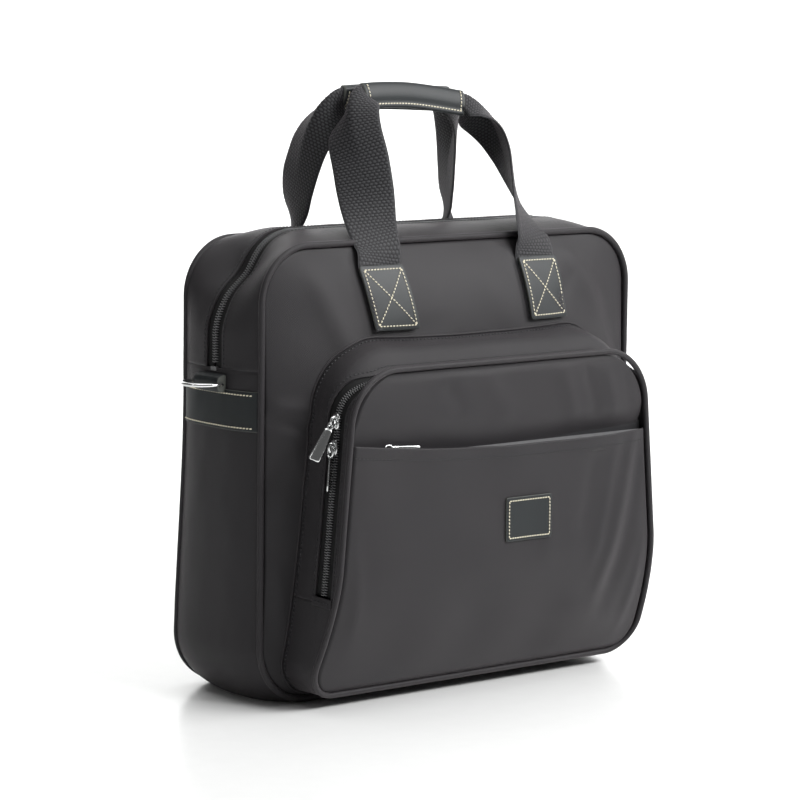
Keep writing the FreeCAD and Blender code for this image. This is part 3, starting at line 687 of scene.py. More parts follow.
def slider_body():
    """Slider of a zip: a domed top plate with a pointed nose, a flat under plate and an arched bridge.

    X runs along the zip, Z out of it; the coil's top is at zero.
    """
    angle = circle(36)
    nose = 6.0 * np.sign(np.cos(angle)) * np.abs(np.cos(angle)) ** 0.7
    wide = 4.5 * np.sign(np.sin(angle)) * np.abs(np.sin(angle)) ** 0.6 * (1 - 0.16 * smooth(nose, 0, 6))
    # each plate is a stack of rings: how large each is beside the outline, and its height
    plates = [[(0.06, 1.75), (0.45, 1.7), (0.8, 1.5), (0.95, 1.2), (1.0, 0.8), (0.97, 0.35), (0.4, 0.3),
               (0.06, 0.3)],
              [(0.06, -2.5), (0.9, -2.5), (0.96, -2.9), (0.9, -3.3), (0.06, -3.3)]]
    made = []
    for rows in plates:
        rings = np.stack([np.column_stack([nose * k, wide * k, np.full(36, h)]) for k, h in rows])
        made.append(outward(capped(grid(rings, (False, True)), len(rows), 36)))
    arch = curve([(-3.6, 0, 1.2), (-3.5, 0, 2.9), (-2.2, 0, 4.7), (0, 0, 5.2), (2.2, 0, 4.6), (3.4, 0, 2.7),
                  (3.5, 0, 1.2)], 22)
    neck = tube([(0, 0, -2.6), (0.5, 0, -1.5), (0.5, 0, 0.5), (0, 0, 0.6)], 0.5, sides=8, out=(1.0, 0.0, 0.0))
    return join(made + [tube(arch, 0.85, sides=10, flat=1.35), neck])


def pull_tab(turn=0.0):
    """Pull of a slider: a wire eye through the bridge and a bar that widens, with a ridge along each face.

    The bar hangs to -X from the pin at zero, turned about its own length by so many degrees on its link.
    """
    angle = circle(28)
    eye = np.column_stack([-3.1 + 4.0 * np.sign(np.cos(angle)) * np.abs(np.cos(angle)) ** 0.75,
                           3.0 * np.sign(np.sin(angle)) * np.abs(np.sin(angle)) ** 0.75, np.zeros(28)])
    ring = tube(eye, 0.82, sides=8, closed=True, out=(0.0, 0.0, 1.0))
    x = np.array([-6.3, -6.6, -7.4, -9.0, -18.0, -28.0, -31.6, -32.6, -33.0])
    wide = np.array([2.2, 2.7, 3.1, 3.3, 3.9, 4.4, 4.5, 4.0, 3.2])
    thick = np.array([0.5, 0.75, 0.9, 1.0, 1.05, 1.1, 1.05, 0.85, 0.45])
    a = np.array([1.0, 0.86, 0.42, 0.0, -0.42, -0.86, -1.0, -0.86, -0.42, 0.0, 0.42, 0.86])
    b = np.array([0.0, 0.62, 0.78, 1.0, 0.78, 0.62, 0.0, -0.62, -0.78, -1.0, -0.78, -0.62])
    bar = np.stack([np.broadcast_to(x[:, None], (9, 12)), wide[:, None] * a, thick[:, None] * b], -1)
    c, s = math.cos(math.radians(turn)), math.sin(math.radians(turn))
    bar = outward(capped(grid(bar, (False, True)), 9, 12))
    bar = moved(bar, (0, 0, 0), [(1, 0, 0), (0, c, s), (0, -s, c)])
    link = np.column_stack([-5.6 + 1.9 * np.cos(angle), 0 * angle, 1.9 * np.sin(angle)])
    link = tube(link, 0.6, sides=8, closed=True)
    return join([ring, link, bar])


def tilted(made, degrees):
    """A pull turned about its pin so that its bar stands out from the zip."""
    c, s = math.cos(math.radians(degrees)), math.sin(math.radians(degrees))
    return moved(made, (0, 0, 0), [(c, 0, -s), (0, 1, 0), (s, 0, c)])


PIN_HEIGHT = 3.2                         # from the coil's top to the pin that a pull turns on
PROPPED = 28.0                           # how far a pull stands out from its zip, in degrees


def zip_frame(along, out):
    """Axes of a slider: along its zip, across it, and out of it."""
    along, out = unit(np.asarray(along, float)), unit(np.asarray(out, float))
    return np.stack([along, np.cross(out, along), out])


# ---------------------------------------------------------------- handles

STRAP_T = 1.1                            # half of the webbing's thickness
ROW_PITCH, CELL_PITCH = 2.4, 3.5         # the webbing's ribs: along it and across it
LEAN = 0.3955                            # how far a handle leans in for each millimetre it rises
LEAN_ANGLE = math.atan(LEAN)
HINGE_Y = 57.3
# place of the fold's line in X and Z, and how far the webbing is opened and twisted, in degrees
LEGS = {
    "front_left": [(-50, 462.6, 1, 90), (-56, 462.6, 1, 90), (-60, 463, 5, 90), (-66.5, 460, 18, 88),
                   (-73, 452, 38, 80), (-77.5, 440, 60, 68), (-78.5, 426, 78, 54), (-77.5, 408, 88, 45),
                   (-79, 388, 90, 38), (-81, 360, 90, 18), (-79.5, 342, 90, 5)],
    "front_right": [(-31, 456.6, 1, 90), (-37, 456.0, 1, 90), (-42, 455, 5, 90), (-49, 451.6, 18, 88),
                    (-56.5, 445.6, 36, 85), (-63.5, 436.5, 56, 81), (-68, 424, 74, 75), (-69.5, 408, 86, 67),
                    (-70, 390, 90, 56), (-71.5, 374, 90, 45), (-74.5, 356, 90, 28), (-77.5, 342, 90, 9)],
    "rear_left": [(-57, 460.6, 1, 90), (-63, 460.8, 1, 90), (-68, 460.4, 6, 90), (-76, 456, 18, 90),
                  (-84, 447, 38, 90), (-89, 434, 58, 89), (-91, 419, 74, 88), (-90, 403, 84, 87),
                  (-88, 386, 90, 86), (-84.5, 368, 90, 79), (-81, 353, 90, 55), (-79, 341, 90, 18)],
    "rear_right": [(-31, 458.8, 1, -90), (-37, 458.6, 1, -90), (-42, 458.4, 6, -90), (-49, 455.4, 18, -86),
                   (-55, 447, 38, -82), (-58.5, 434, 58, -78), (-60, 419, 74, -74), (-62, 403, 84, -71),
                   (-66, 384, 90, -68), (-72, 364, 90, -60), (-76, 345, 90, -26)],
}
GRIPS = {
    "front": [(-59.5, 464.7), (-45, 465.3), (-25, 465.2), (-10, 464.4), (6, 462.6), (22, 460.4), (40, 457.6)],
    "rear": [(-66.5, 462.6), (-50, 463.2), (-25, 463.2), (0, 462.4), (20, 461.4), (40, 460.4)],
}

PATCH_MIDDLE = (PATCH_LOW + PATCH_TOP) / 2
# how far each patch leans away from the middle of the bag for each millimetre it rises
PATCH_LEAN = {"front_left": 0.13, "front_right": -0.05, "rear_left": 0.02, "rear_right": 0.0}


def leg_frames(name):
    """Stations along one leg of a handle, worked out as a front left leg: place, width, fold and opening."""
    side = -1 if name.startswith("front") else 1
    lean = PATCH_LEAN[name]
    rows = []
    for x, z, opening, twist in LEGS[name]:
        rows.append((x, -(HINGE_Y + 1.0 - (z - HINGE_Z) * LEAN), z, opening, twist))
    for z in (328.5, 321, 312, 300, 284):
        x = -LEG_X - lean * (z - PATCH_MIDDLE)
        place, _ = panel_point(np.array([x]), np.array([float(z)]), side, np.array([STRAP_T + 0.25]))
        rows.append((x, -abs(place[0, 1]), z, 90, 0))
    line = curve(rows, 300)
    tangent = unit(np.gradient(line[:, :3], axis=0))
    twist = np.radians(line[:, 4])
    lean = np.where(line[:, 2] > HINGE_Z, LEAN_ANGLE, 0.0)
    width = np.stack([np.cos(twist), -np.sin(twist) * np.cos(lean), np.sin(twist) * np.sin(lean)], -1)
    width = unit(width - (width * tangent).sum(1, keepdims=True) * tangent)
    return line[:, :3], width, np.cross(tangent, width), np.radians(line[:, 3])


def webbing(name, weave):
    """One leg of webbing as a closed band, ribbed like woven tape.

    Across its width each point goes sideways by sin(opening) and down from the fold by cos(opening) times
    its distance from the fold; ribs are products of sines in a brick pattern on both faces, and the gaps
    between them are kept on the mesh for the finish to paint dark, a painted shade.
    """
    place, width, fold, opening = leg_frames(name)
    half = 20.2 + 1.8 * smooth(place[:, 2], 345, 395) - 7.5 * (1 - smooth(np.degrees(opening), 1, 17))
    # the leg turned the other way has its fold on its other face
    fold = fold * np.sign(fold[8, 2])
    q = np.linspace(-1, 1, 61)
    run = np.arange(len(place)) * np.linalg.norm(place[1] - place[0])
    sin, cos = np.sin(opening)[:, None], np.cos(opening)[:, None]
    across = q * half[:, None]
    apart = np.sign(across) * 1.25 * (1 - np.exp(-np.abs(across) / 1.5)) * cos
    down = cos * (np.sqrt(across ** 2 + 1.2) - 1.1)
    cup = 1.2 * sin * (q ** 2) * smooth(place[:, 2], 340, 380)[:, None]
    middle = (place[:, None] + width[:, None] * (across * sin + apart)[..., None]
              - fold[:, None] * (down + cup)[..., None])
    normal = unit(np.cross(np.gradient(middle, axis=1), np.gradient(middle, axis=0)))
    row = run[:, None] / ROW_PITCH
    cell = across / CELL_PITCH + 0.5 * (np.floor(row) % 2)
    thread = (np.sin(np.pi * (row % 1)) ** 0.6) * (np.abs(np.sin(np.pi * cell)) ** 0.5)
    thread = thread * (1 - np.abs(q) ** 24)
    # mask of the gaps between ribs; the webbing's finish paints it dark, a painted shade
    gap = (1 - smooth(thread, 0.35, 0.8)) * (1 - np.abs(q) ** 16)
    rib = weave * thread * smooth(np.degrees(opening), 4, 12)[:, None]
    edge = np.sqrt(np.clip(1 - np.abs(q) ** 18, 0, 1))
    half_t = (STRAP_T * edge + rib - 0.3)[..., None]
    top, low = middle + normal * half_t, middle - normal * half_t
    loop = np.concatenate([top, low[:, ::-1]], 1)
    gap_shades = np.concatenate([gap, gap[:, ::-1]], 1)
    # the gap mask is stored on the mesh with the cut edges, and the finish paints it dark as shade
    made = capped(grid(loop, (False, True), gap_shades), *loop.shape[:2])
    mirror = (-1 if name.endswith("right") else 1, -1 if name.startswith("rear") else 1, 1)
    return outward_closed(dict(made, points=made["points"] * mirror))


def outward_closed(made):
    """Faces turned out of a closed piece of any shape, by the sign of its volume."""
    p, total = made["points"], 0.0
    for f in made["faces"]:
        a, b, c, d = (p[f[:, k]] for k in (0, 1, 2, -1))
        total += np.einsum("ij,ij->", a, np.cross(b, c)) + np.einsum("ij,ij->", a, np.cross(c, d))
    return made if total > 0 else flipped(made)


GRIP_SECTION = np.array([(0.0, 0.0), (1.6, 0.15), (2.9, 0.9), (3.7, 2.6), (4.1, 5.5), (4.1, 9.0), (3.6, 12.4),
                         (2.8, 14.6), (2.15, 16.2), (2.0, 18.2), (1.9, 20.0), (1.3, 20.6), (0.0, 20.7)])


def grip_surface(side, stations=90):
    """Points of the leather grip: its half section, mirrored and carried along the handle's top."""
    rows = np.array([(x, 0.0, z) for x, z in GRIPS["front" if side < 0 else "rear"]])
    line = curve(rows, stations)
    line[:, 1] = -(HINGE_Y + 0.6 - (line[:, 2] - HINGE_Z) * LEAN)
    lean = np.array([0.0, math.sin(LEAN_ANGLE), math.cos(LEAN_ANGLE)])
    tangent = unit(np.gradient(line, axis=0))
    wide = np.array([0.0, -math.cos(LEAN_ANGLE), math.sin(LEAN_ANGLE)])
    down = -unit(np.cross(tangent, np.broadcast_to(wide, tangent.shape)))
    down = down * np.sign((down * -lean).sum(1, keepdims=True))
    half = curve(np.column_stack([GRIP_SECTION, np.zeros(13)]), 25)
    loop = np.concatenate([half[:, :2], half[-2:0:-1, :2] * (-1, 1)])
    swell = 1 + 0.04 * np.sin(np.linspace(0, 5, stations))
    points = (line[:, None] + wide * (loop[:, 0] * swell[:, None])[..., None]
              + down[:, None] * loop[:, 1][None, :, None])
    return points * (1, -side, 1)


# ---------------------------------------------------------------- finishes

FINISHES = {}


def feed(tree, node, inputs):
    """Sets a node's inputs to values, or links them from the sockets of other nodes."""
    for key, value in inputs.items():
        if isinstance(value, bpy.types.NodeSocket):
            tree.links.new(value, node.inputs[key])
        else:
            node.inputs[key].default_value = value


def wire(tree, kind, inputs=None, **settings):
    """A node with its settings and its inputs."""
    made = tree.nodes.new(kind)
    for key, value in settings.items():
        setattr(made, key, value)
    feed(tree, made, inputs or {})
    return made


def sums(tree, operation, first, second=0.0):
    """One Math node's value."""
    return wire(tree, "ShaderNodeMath", {0: first, 1: second}, operation=operation).outputs[0]


def new_group(name, inputs, outputs):
    """Shader node group with named inputs, their defaults, and named outputs that are all numbers."""
    tree = bpy.data.node_groups.new(name, "ShaderNodeTree")
    for label, default in inputs:
        kind = "NodeSocketVector" if default is None else "NodeSocketFloat"
        socket = tree.interface.new_socket(label, in_out="INPUT", socket_type=kind)
        if default is not None:
            socket.default_value = default
    for label in outputs:
        tree.interface.new_socket(label, in_out="OUTPUT", socket_type="NodeSocketFloat")
    return tree, tree.nodes.new("NodeGroupInput").outputs, tree.nodes.new("NodeGroupOutput").inputs


def woven_group():
    """Plain weave: two sets of threads over and under each other, as height, and the gaps between them, which
    the cloth finish paints darker as shade.
    """
    tree, given, result = new_group("woven threads", [("Place", None), ("Pitch", 0.0006)], ["Height", "Gap"])
    apart = wire(tree, "ShaderNodeSeparateXYZ", {0: given["Place"]}).outputs
    u, v = (sums(tree, "DIVIDE", apart[k], given["Pitch"]) for k in (0, 1))
    warp, weft = (sums(tree, "ABSOLUTE", sums(tree, "SINE", sums(tree, "MULTIPLY", along, math.pi)))
                  for along in (u, v))
    over = sums(tree, "ADD", sums(tree, "FLOOR", u), sums(tree, "FLOOR", v))
    turn = sums(tree, "PINGPONG", over, 1.0)
    high = sums(tree, "ADD", sums(tree, "MULTIPLY", warp, turn),
                sums(tree, "MULTIPLY", weft, sums(tree, "SUBTRACT", 1.0, turn)))
    tree.links.new(high, result["Height"])
    tree.links.new(sums(tree, "SUBTRACT", 1.0, sums(tree, "MULTIPLY", warp, weft)), result["Gap"])
    return tree


def cloudy_group():
    """Slow variation of tone and a fine grain over it, both from 0 to 1."""
    inputs = [("Place", None), ("Size", 18.0), ("Grain", 900.0)]
    tree, given, result = new_group("cloudy tone", inputs, ["Slow", "Fine"])
    for scale, detail, output in (("Size", 3.0, "Slow"), ("Grain", 2.0, "Fine")):
        noise = wire(tree, "ShaderNodeTexNoise",
                     {"Vector": given["Place"], "Scale": given[scale], "Detail": detail})
        tree.links.new(noise.outputs[0], result[output])
    return tree


def pebbled_group():
    """Leather grain: cells with soft borders of two sizes, as height."""
    tree, given, result = new_group("pebbled grain", [("Place", None), ("Size", 1100.0)], ["Height"])
    cell = wire(tree, "ShaderNodeTexVoronoi", {"Vector": given["Place"], "Scale": given["Size"]},
                feature="SMOOTH_F1").outputs["Distance"]
    finer = sums(tree, "MULTIPLY", given["Size"], 2.3)
    fine = wire(tree, "ShaderNodeTexNoise", {"Vector": given["Place"], "Scale": finer})
    tree.links.new(sums(tree, "ADD", cell, sums(tree, "MULTIPLY", fine.outputs[0], 0.4)), result["Height"])
    return tree


GROUPS = {}


def blank(name):
    """New node material: its tree and its Principled shader."""
    made = bpy.data.materials.new(name)
    made.use_nodes = True
    shader = next(n for n in made.node_tree.nodes if n.type == "BSDF_PRINCIPLED")
    FINISHES[name] = made
    return made.node_tree, shader


def use(tree, group, **inputs):
    """A shared node group placed in a material."""
    return wire(tree, "ShaderNodeGroup", inputs, node_tree=GROUPS[group]).outputs


def rgba(colour, share=1.0):
    """A colour at a share of its brightness, as a shader input."""
    return (*[c * share for c in colour], 1)


def between(tree, share, first, second):
    """Colour that goes from the first to the second as the share goes from 0 to 1."""
    return wire(tree, "ShaderNodeMix", {0: share, 6: first, 7: second}, data_type="RGBA").outputs[2]


def span(tree, value, low, high):
    """A value from 0 to 1 stretched to run from low to high."""
    return wire(tree, "ShaderNodeMapRange", {0: value, 3: low, 4: high}).outputs[0]


def bumped(tree, height, strength, distance):
    """Normal of a surface with a small relief, its depth in metres."""
    inputs = {"Height": height, "Strength": strength, "Distance": distance}
    return wire(tree, "ShaderNodeBump", inputs).outputs[0]


def place_of(tree, own=False):
    """Where a pattern is read: the piece's own lengths, or its place in the model."""
    return wire(tree, "ShaderNodeTexCoord").outputs["UV" if own else "Object"]


def cut_or_gap_shade_of(tree):
    """How much a point is a raw cut edge or, on the webbing, a gap between ribs painted dark as shade, from the
    mesh.
    """
    return wire(tree, "ShaderNodeAttribute", attribute_name="cut").outputs["Fac"]


def cloth_finish(name, colour, lit, own=True, pitch=0.0007, rough=(0.42, 0.56), sheen=0.10):
    """Satin nylon: fine plain weave, a slow random change of tone towards a lighter lit copy (a painted
    highlight), gaps between threads painted darker as shade, and a soft sheen.
    """
    tree, shader = blank(name)
    tone = use(tree, "cloudy", Place=place_of(tree), Size=14.0, Grain=700.0)
    threads = use(tree, "woven", Place=place_of(tree, own), Pitch=pitch)
    # the lit colour is a lighter copy of the cloth, mixed in at random by slow noise: a painted highlight
    base = between(tree, span(tree, tone["Slow"], 0.1, 0.9), rgba(colour), rgba(lit))
    high = sums(tree, "ADD", threads["Height"], sums(tree, "MULTIPLY", tone["Fine"], 0.5))
    feed(tree, shader, {
        # darker in the gaps between the threads: painted shade
        "Base Color": between(tree, span(tree, threads["Gap"], 0.0, 0.35), base, rgba(colour, 0.45)),
        "Roughness": span(tree, tone["Slow"], *rough),
        "Normal": bumped(tree, high, 0.5, 0.00012),
        "Sheen Weight": sheen, "Sheen Roughness": 0.4, "Sheen Tint": (1.0, 0.9, 0.95, 1),
        "Specular IOR Level": 0.22})
    return tree, shader


def webbing_finish(name, colour, gap):
    """Woven tape: threads across and along it, a lighter lit copy of its colour as a painted highlight, and
    dark gaps, a painted shade between the ribs, where the attribute marks them.
    """
    # a lighter, lit copy of the webbing's colour: a painted highlight, mixed in at random
    lit = [k * 1.5 for k in colour]
    tree, shader = cloth_finish(name, colour, lit, pitch=0.0005, rough=(0.45, 0.6), sheen=0.2)
    base = shader.inputs["Base Color"].links[0].from_socket
    feed(tree, shader, {"Base Color": between(tree, cut_or_gap_shade_of(tree), base, rgba(gap))})


def leather_finish(name, colour, edge):
    """Smooth leather with a fine pebble, satin gloss, and paler raw edges where it is cut."""
    tree, shader = blank(name)
    grain = use(tree, "pebbled", Place=place_of(tree), Size=1500.0)
    tone = use(tree, "cloudy", Place=place_of(tree), Size=40.0, Grain=1600.0)
    cut = cut_or_gap_shade_of(tree)
    rough = sums(tree, "ADD", span(tree, tone["Fine"], 0.44, 0.56), sums(tree, "MULTIPLY", cut, 0.3))
    face = between(tree, span(tree, tone["Slow"], 0.2, 0.9), rgba(colour), rgba(colour, 1.7))
    feed(tree, shader, {
        "Base Color": between(tree, cut, face, rgba(edge)),
        "Roughness": rough,
        "Normal": bumped(tree, grain["Height"], 0.35, 0.00012),
        "Specular IOR Level": 0.4})


def plain_finish(name, colour, deep, size, grain, rough, relief):
    """A colour that goes to a deeper share of itself, with a fine grain; relief is the bump and its depth."""
    tree, shader = blank(name)
    tone = use(tree, "cloudy", Place=place_of(tree), Size=size, Grain=grain)
    feed(tree, shader, {
        "Base Color": between(tree, tone["Slow"], rgba(colour, deep), rgba(colour)),
        "Roughness": span(tree, tone["Fine"], *rough),
        "Normal": bumped(tree, tone["Fine"], *relief)})
    return shader


def thread_finish(name, colour, rough=0.6):
    """Sewing thread: a fine twist along the object and a little unevenness of colour."""
    plain_finish(name, colour, 0.72, 220.0, 3000.0, (rough - 0.1, rough + 0.1), (0.4, 0.0001))


def metal_finish(name, colour, rough=(0.07, 0.2)):
    """Plated metal with faint cloudiness and hairline wear."""
    shader = plain_finish(name, colour, 0.86, 160.0, 2600.0, rough, (0.12, 0.00005))
    shader.inputs["Metallic"].default_value = 1.0


# ---------------------------------------------------------------- what a user may change

def tint(label, text, default):
    """A colour setting."""
    return FloatVectorProperty(name=label, description=text, subtype="COLOR", size=3, min=0, max=1,
                               default=default)


def length(label, text, default):
    """A length setting, in metres."""
    return FloatProperty(name=label, description=text, subtype="DISTANCE", unit="LENGTH", default=default,
                         min=0.0)


def turn(label, text, degrees):
    """An angle setting."""
    return FloatProperty(name=label, description=text, subtype="ANGLE", default=math.radians(degrees))


def power(label, text, watts):
    """The power of a light."""
    return FloatProperty(name=label, description=text, subtype="POWER", default=watts, min=0)


class BagSizes(PropertyGroup):
    """Sizes of the sewing and the weave."""

    leather_pitch: length("Leather stitch pitch", "From one pale stitch to the next", 0.0029)
    cloth_pitch: length("Cloth stitch pitch", "From one dark stitch to the next", 0.0034)
    cloth_wall: length("Cloth thickness", "Thickness of the shell with its lining", 0.0014)
    rib_height: length("Webbing rib", "Height of the webbing's ribs", 0.0006)


class BagColours(PropertyGroup):
    """Colours of the finishes."""

    cloth: tint("Cloth", "Nylon in shade", (0.0185, 0.0178, 0.02))
    # a lighter, lit copy of the nylon that the finishes mix in at random: a painted highlight, not wear
    cloth_lit: tint("Cloth highlight", "Nylon where it is worn smooth", (0.031, 0.028, 0.030))
    leather: tint("Leather", "Face of the leather", (0.0045, 0.0065, 0.0075))
    leather_edge: tint("Leather edge", "Raw cut edge of the leather", (0.11, 0.115, 0.105))
    webbing: tint("Webbing", "Handle webbing", (0.042, 0.042, 0.045))
    pale_thread: tint("Pale thread", "Contrast stitching on the leather", (0.86, 0.8, 0.62))
    dark_thread: tint("Dark thread", "Stitching on the cloth", (0.006, 0.006, 0.008))
    metal: tint("Metal", "Rings, sliders and pulls", (0.83, 0.84, 0.84))


class StageSettings(PropertyGroup):
    """Camera and light."""

    azimuth: turn("Azimuth", "Camera angle round the bag", -40)
    elevation: turn("Elevation", "Camera angle above the floor", 7.27)
    distance: length("Distance", "From the camera to the point it looks at", 2.69835)
    key: power("Key light", "Power of the large soft light", 84.0)
    top: power("Top light", "Power of the light above", 84.0)
    backdrop: power("Backdrop light", "Power of the light on the backdrop", 150.0)
    strip: power("Side light", "Power of the light at the right", 24.0)


def sizes():
    """The add-on's sizes in millimetres: leather stitch, cloth stitch, cloth wall and webbing rib."""
    given = bpy.context.scene.bag_sizes
    return given.leather_pitch / MM, given.cloth_pitch / MM, given.cloth_wall / MM, given.rib_height / MM


# ---------------------------------------------------------------- operators

# the zip end stops share the coil's finish, whose lighter grey is a painted highlight
CAD_FINISHES = {"base_board": "board_cloth", "divider": "lining_cloth", "slip_pocket_backing": "lining_cloth",
                "slip_zip_coil_upper": "coil_nylon", "slip_zip_coil_lower": "coil_nylon",
                "slip_zip_tape_upper": "lining_cloth", "slip_zip_tape_lower": "lining_cloth",
                "main_zip_end_stops": "coil_nylon", "d_ring_left": "chrome_metal",
                "d_ring_right": "chrome_metal", "slip_slider": "chrome_metal"}


class BAG_OT_finishes(Operator):
    """Make the node materials of the bag"""
    bl_idname = "bag.finishes"
    bl_label = "Finishes"

    def execute(self, context):
        c = context.scene.bag_colours
        GROUPS.update(woven=woven_group(), cloudy=cloudy_group(), pebbled=pebbled_group())
        cloth, lit = tuple(c.cloth), tuple(c.cloth_lit)
        cloth_finish("nylon", cloth, lit)
        # the piping's lit colour is a brighter copy: a stronger painted highlight
        cloth_finish("piping_nylon", cloth, [k * 1.25 for k in lit], pitch=0.0006, rough=(0.42, 0.55))
        cloth_finish("lining_cloth", (0.02, 0.02, 0.022), (0.03, 0.03, 0.032), own=False, pitch=0.0009)
        cloth_finish("zip_cloth", (0.004, 0.004, 0.0045), (0.007, 0.007, 0.0075), pitch=0.0008,
                     rough=(0.6, 0.75), sheen=0.03)
        # the last colour is painted shade in the gaps between the webbing's ribs
        webbing_finish("webbing_weave", tuple(c.webbing), (0.004, 0.004, 0.005))
        cloth_finish("board_cloth", (0.018, 0.018, 0.02), (0.026, 0.026, 0.028), own=False, pitch=0.0012)
        leather_finish("leather_face", tuple(c.leather), tuple(c.leather_edge))
        thread_finish("pale_thread", tuple(c.pale_thread))
        thread_finish("dark_thread", tuple(c.dark_thread), 0.5)
        # the coil's grey is lighter than the dark coil: a painted highlight for its glints, on top of its real
        # gloss
        thread_finish("coil_nylon", (0.2, 0.2, 0.205), 0.26)
        metal_finish("chrome_metal", tuple(c.metal))
        for node, finish in CAD_FINISHES.items():
            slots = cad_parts[node].data.materials
            slots.clear()
            slots.append(FINISHES[finish])
        return {"FINISHED"}


ZIP_RUN = run_at_height(ZIP_END)
ZIP_ROWS = np.linspace(run_at_height(ROW_START), BODY_LENGTH - run_at_height(ROW_START), 700)
REAR_FOLD = ("bag_body", "rear_flap", (0, 40, FOLD_START), (0, 40, FOLD_END))
TUCK = 1.2                               # how far the gusset's cloth runs in under the piping
TAPE_T = 0.5
BAG_CENTRE = (0, 0, TOP / 2)
POCKET_CENTRE = (0, -40, 130)


def sheet(name, made, width, rests_on, finish="nylon", slot="nylon", **given):
    """Builds a piece of cloth; its area divided by its flat width in metres gives a length that is not kept."""
    piece = build(name, made, finish, slot, **given)
    area_of(made) / width


def sew(name, rows, body=None, bends=None):
    """Builds rows of dark stitches on the cloth."""
    build(name, rows, "dark_thread", "nylon", body, bends)


def sew_leather(name, rows, body):
    """Builds rows of pale stitches on the leather."""
    build(name, rows, "pale_thread", "leather", body)


def leather(name, parts, body, *stands_for):
    """Builds a leather piece."""
    build(name, parts, "leather_face", "leather", body, stands_for=stands_for)


def metal(name, made, node):
    """Builds a chrome piece on the body that has the name of the CAD node it stands for."""
    build(name, made, "chrome_metal", "chrome", node, stands_for=[node])


def cloth_strip(s, side):
    """Gusset cloth beside the main zip, from the piping to its turned edge."""
    share = np.linspace(0, 1, 26)
    y = np.concatenate([EDGE_Y + TUCK + share * (WINDOW + 0.6 - EDGE_Y - TUCK), WINDOW + HEM_Y]) * side
    lift = np.concatenate([np.zeros(26), HEM_LIFT])
    return outward(sheet_grid(s, y, gusset_point, lift), BAG_CENTRE)


def gusset_stitches(s, y, pitch):
    """Dark stitches along the gusset at one distance from its middle."""
    y = np.full_like(s, y)
    return stitches(gusset_point(s, y), gusset_normal(s, y), pitch, radius=0.5, lift=0.1)


class BAG_OT_gusset(Operator):
    """Gusset cloth round the sides, foot and top, with the seams beside the zip"""
    bl_idname = "bag.gusset"
    bl_label = "Gusset"

    def execute(self, context):
        _, pitch, wall, _ = sizes()
        low = np.linspace(BODY_LENGTH - ZIP_RUN, BODY_LENGTH + ZIP_RUN, 300)
        high = np.linspace(ZIP_RUN, BODY_LENGTH - ZIP_RUN, 260)
        y = np.linspace(-EDGE_Y - TUCK, EDGE_Y + TUCK, 54)
        lower = outward(sheet_grid(low, y, gusset_point), BAG_CENTRE)
        sheet("gusset_cloth", lower, 2 * EDGE_Y * MM, "base_board", body="bag_body",
              stands_for=["lower_gusset"], thick=wall)
        seam = np.linspace(ZIP_RUN + 2, BODY_LENGTH - ZIP_RUN - 2, 500)
        ties = {"front": {"body": "bag_body"}, "rear": {"bends": REAR_FOLD}}
        for name, side in SIDES:
            sheet("zip_strip_" + name, cloth_strip(high, side), (EDGE_Y - WINDOW) * MM, "main_zip_" + name,
                  stands_for=[name + "_zip_strip"], thick=wall, **ties[name])
        for name, side in SIDES:
            sew("zip_seam_" + name, gusset_stitches(seam, side * (WINDOW + 2.7), pitch), **ties[name])
        return {"FINISHED"}


def panel_part(side):
    """A domed panel as rings shrinking from the piping to its middle, tucked in behind the piping."""
    s = np.linspace(0, BODY_LENGTH, 360, endpoint=False)
    line, normal = body_line(s)
    rim = line - normal * 4.0
    middle = np.array([0.0, TOP / 2])
    scale = 1 - (1 - np.linspace(0.02, 1, 74)) ** 1.45
    flat = middle + scale[:, None, None] * (rim - middle)
    inside = (1 - scale)[:, None] * np.linalg.norm(rim - middle, axis=1)
    points, _ = panel_point(flat[..., 0], flat[..., 1], side, -2.8 * np.exp(-(inside / 1.5) ** 2))
    return outward(capped(grid(points, (False, True)), len(scale), len(s), ends=(True, False)), BAG_CENTRE)


class BAG_OT_panels(Operator):
    """Padded front and rear panels"""
    bl_idname = "bag.panels"
    bl_label = "Panels"

    def execute(self, context):
        wall = sizes()[2]
        front = build("padded_front", panel_part(-1), "nylon", "nylon", "bag_body",
                      stands_for=["front_panel"], thick=wall)
        rear = build("padded_rear", panel_part(1), "nylon", "nylon", bends=REAR_FOLD,
                     stands_for=["rear_panel_lower", "rear_panel_upper"], thick=wall)
        return {"FINISHED"}


class BAG_OT_piping(Operator):
    """Cord piping along the front and rear seams"""
    bl_idname = "bag.piping"
    bl_label = "Piping"

    def execute(self, context):
        s = np.linspace(0, BODY_LENGTH, 420, endpoint=False)
        line, normal = body_line(s)
        flat = line - normal * PIPE_INSET
        given = {"front": {"body": "bag_body", "stands_for": ["front_piping"]},
                 "rear": {"bends": REAR_FOLD, "stands_for": ["rear_piping_lower", "rear_piping_upper"]}}
        for name, side in SIDES:
            spread = rear_flare(flat[:, 1]) if side > 0 else 0.0
            path = np.column_stack([flat[:, 0], side * (PIPE_Y + spread) + 0 * s, flat[:, 1]])
            radius = PIPE_R + 0.09 * ripple(s, s, 31 + side, 40, 1.0)
            build("piping_" + name, tube(path, radius, sides=14, closed=True), "piping_nylon", "piping",
                  **given[name])
        return {"FINISHED"}


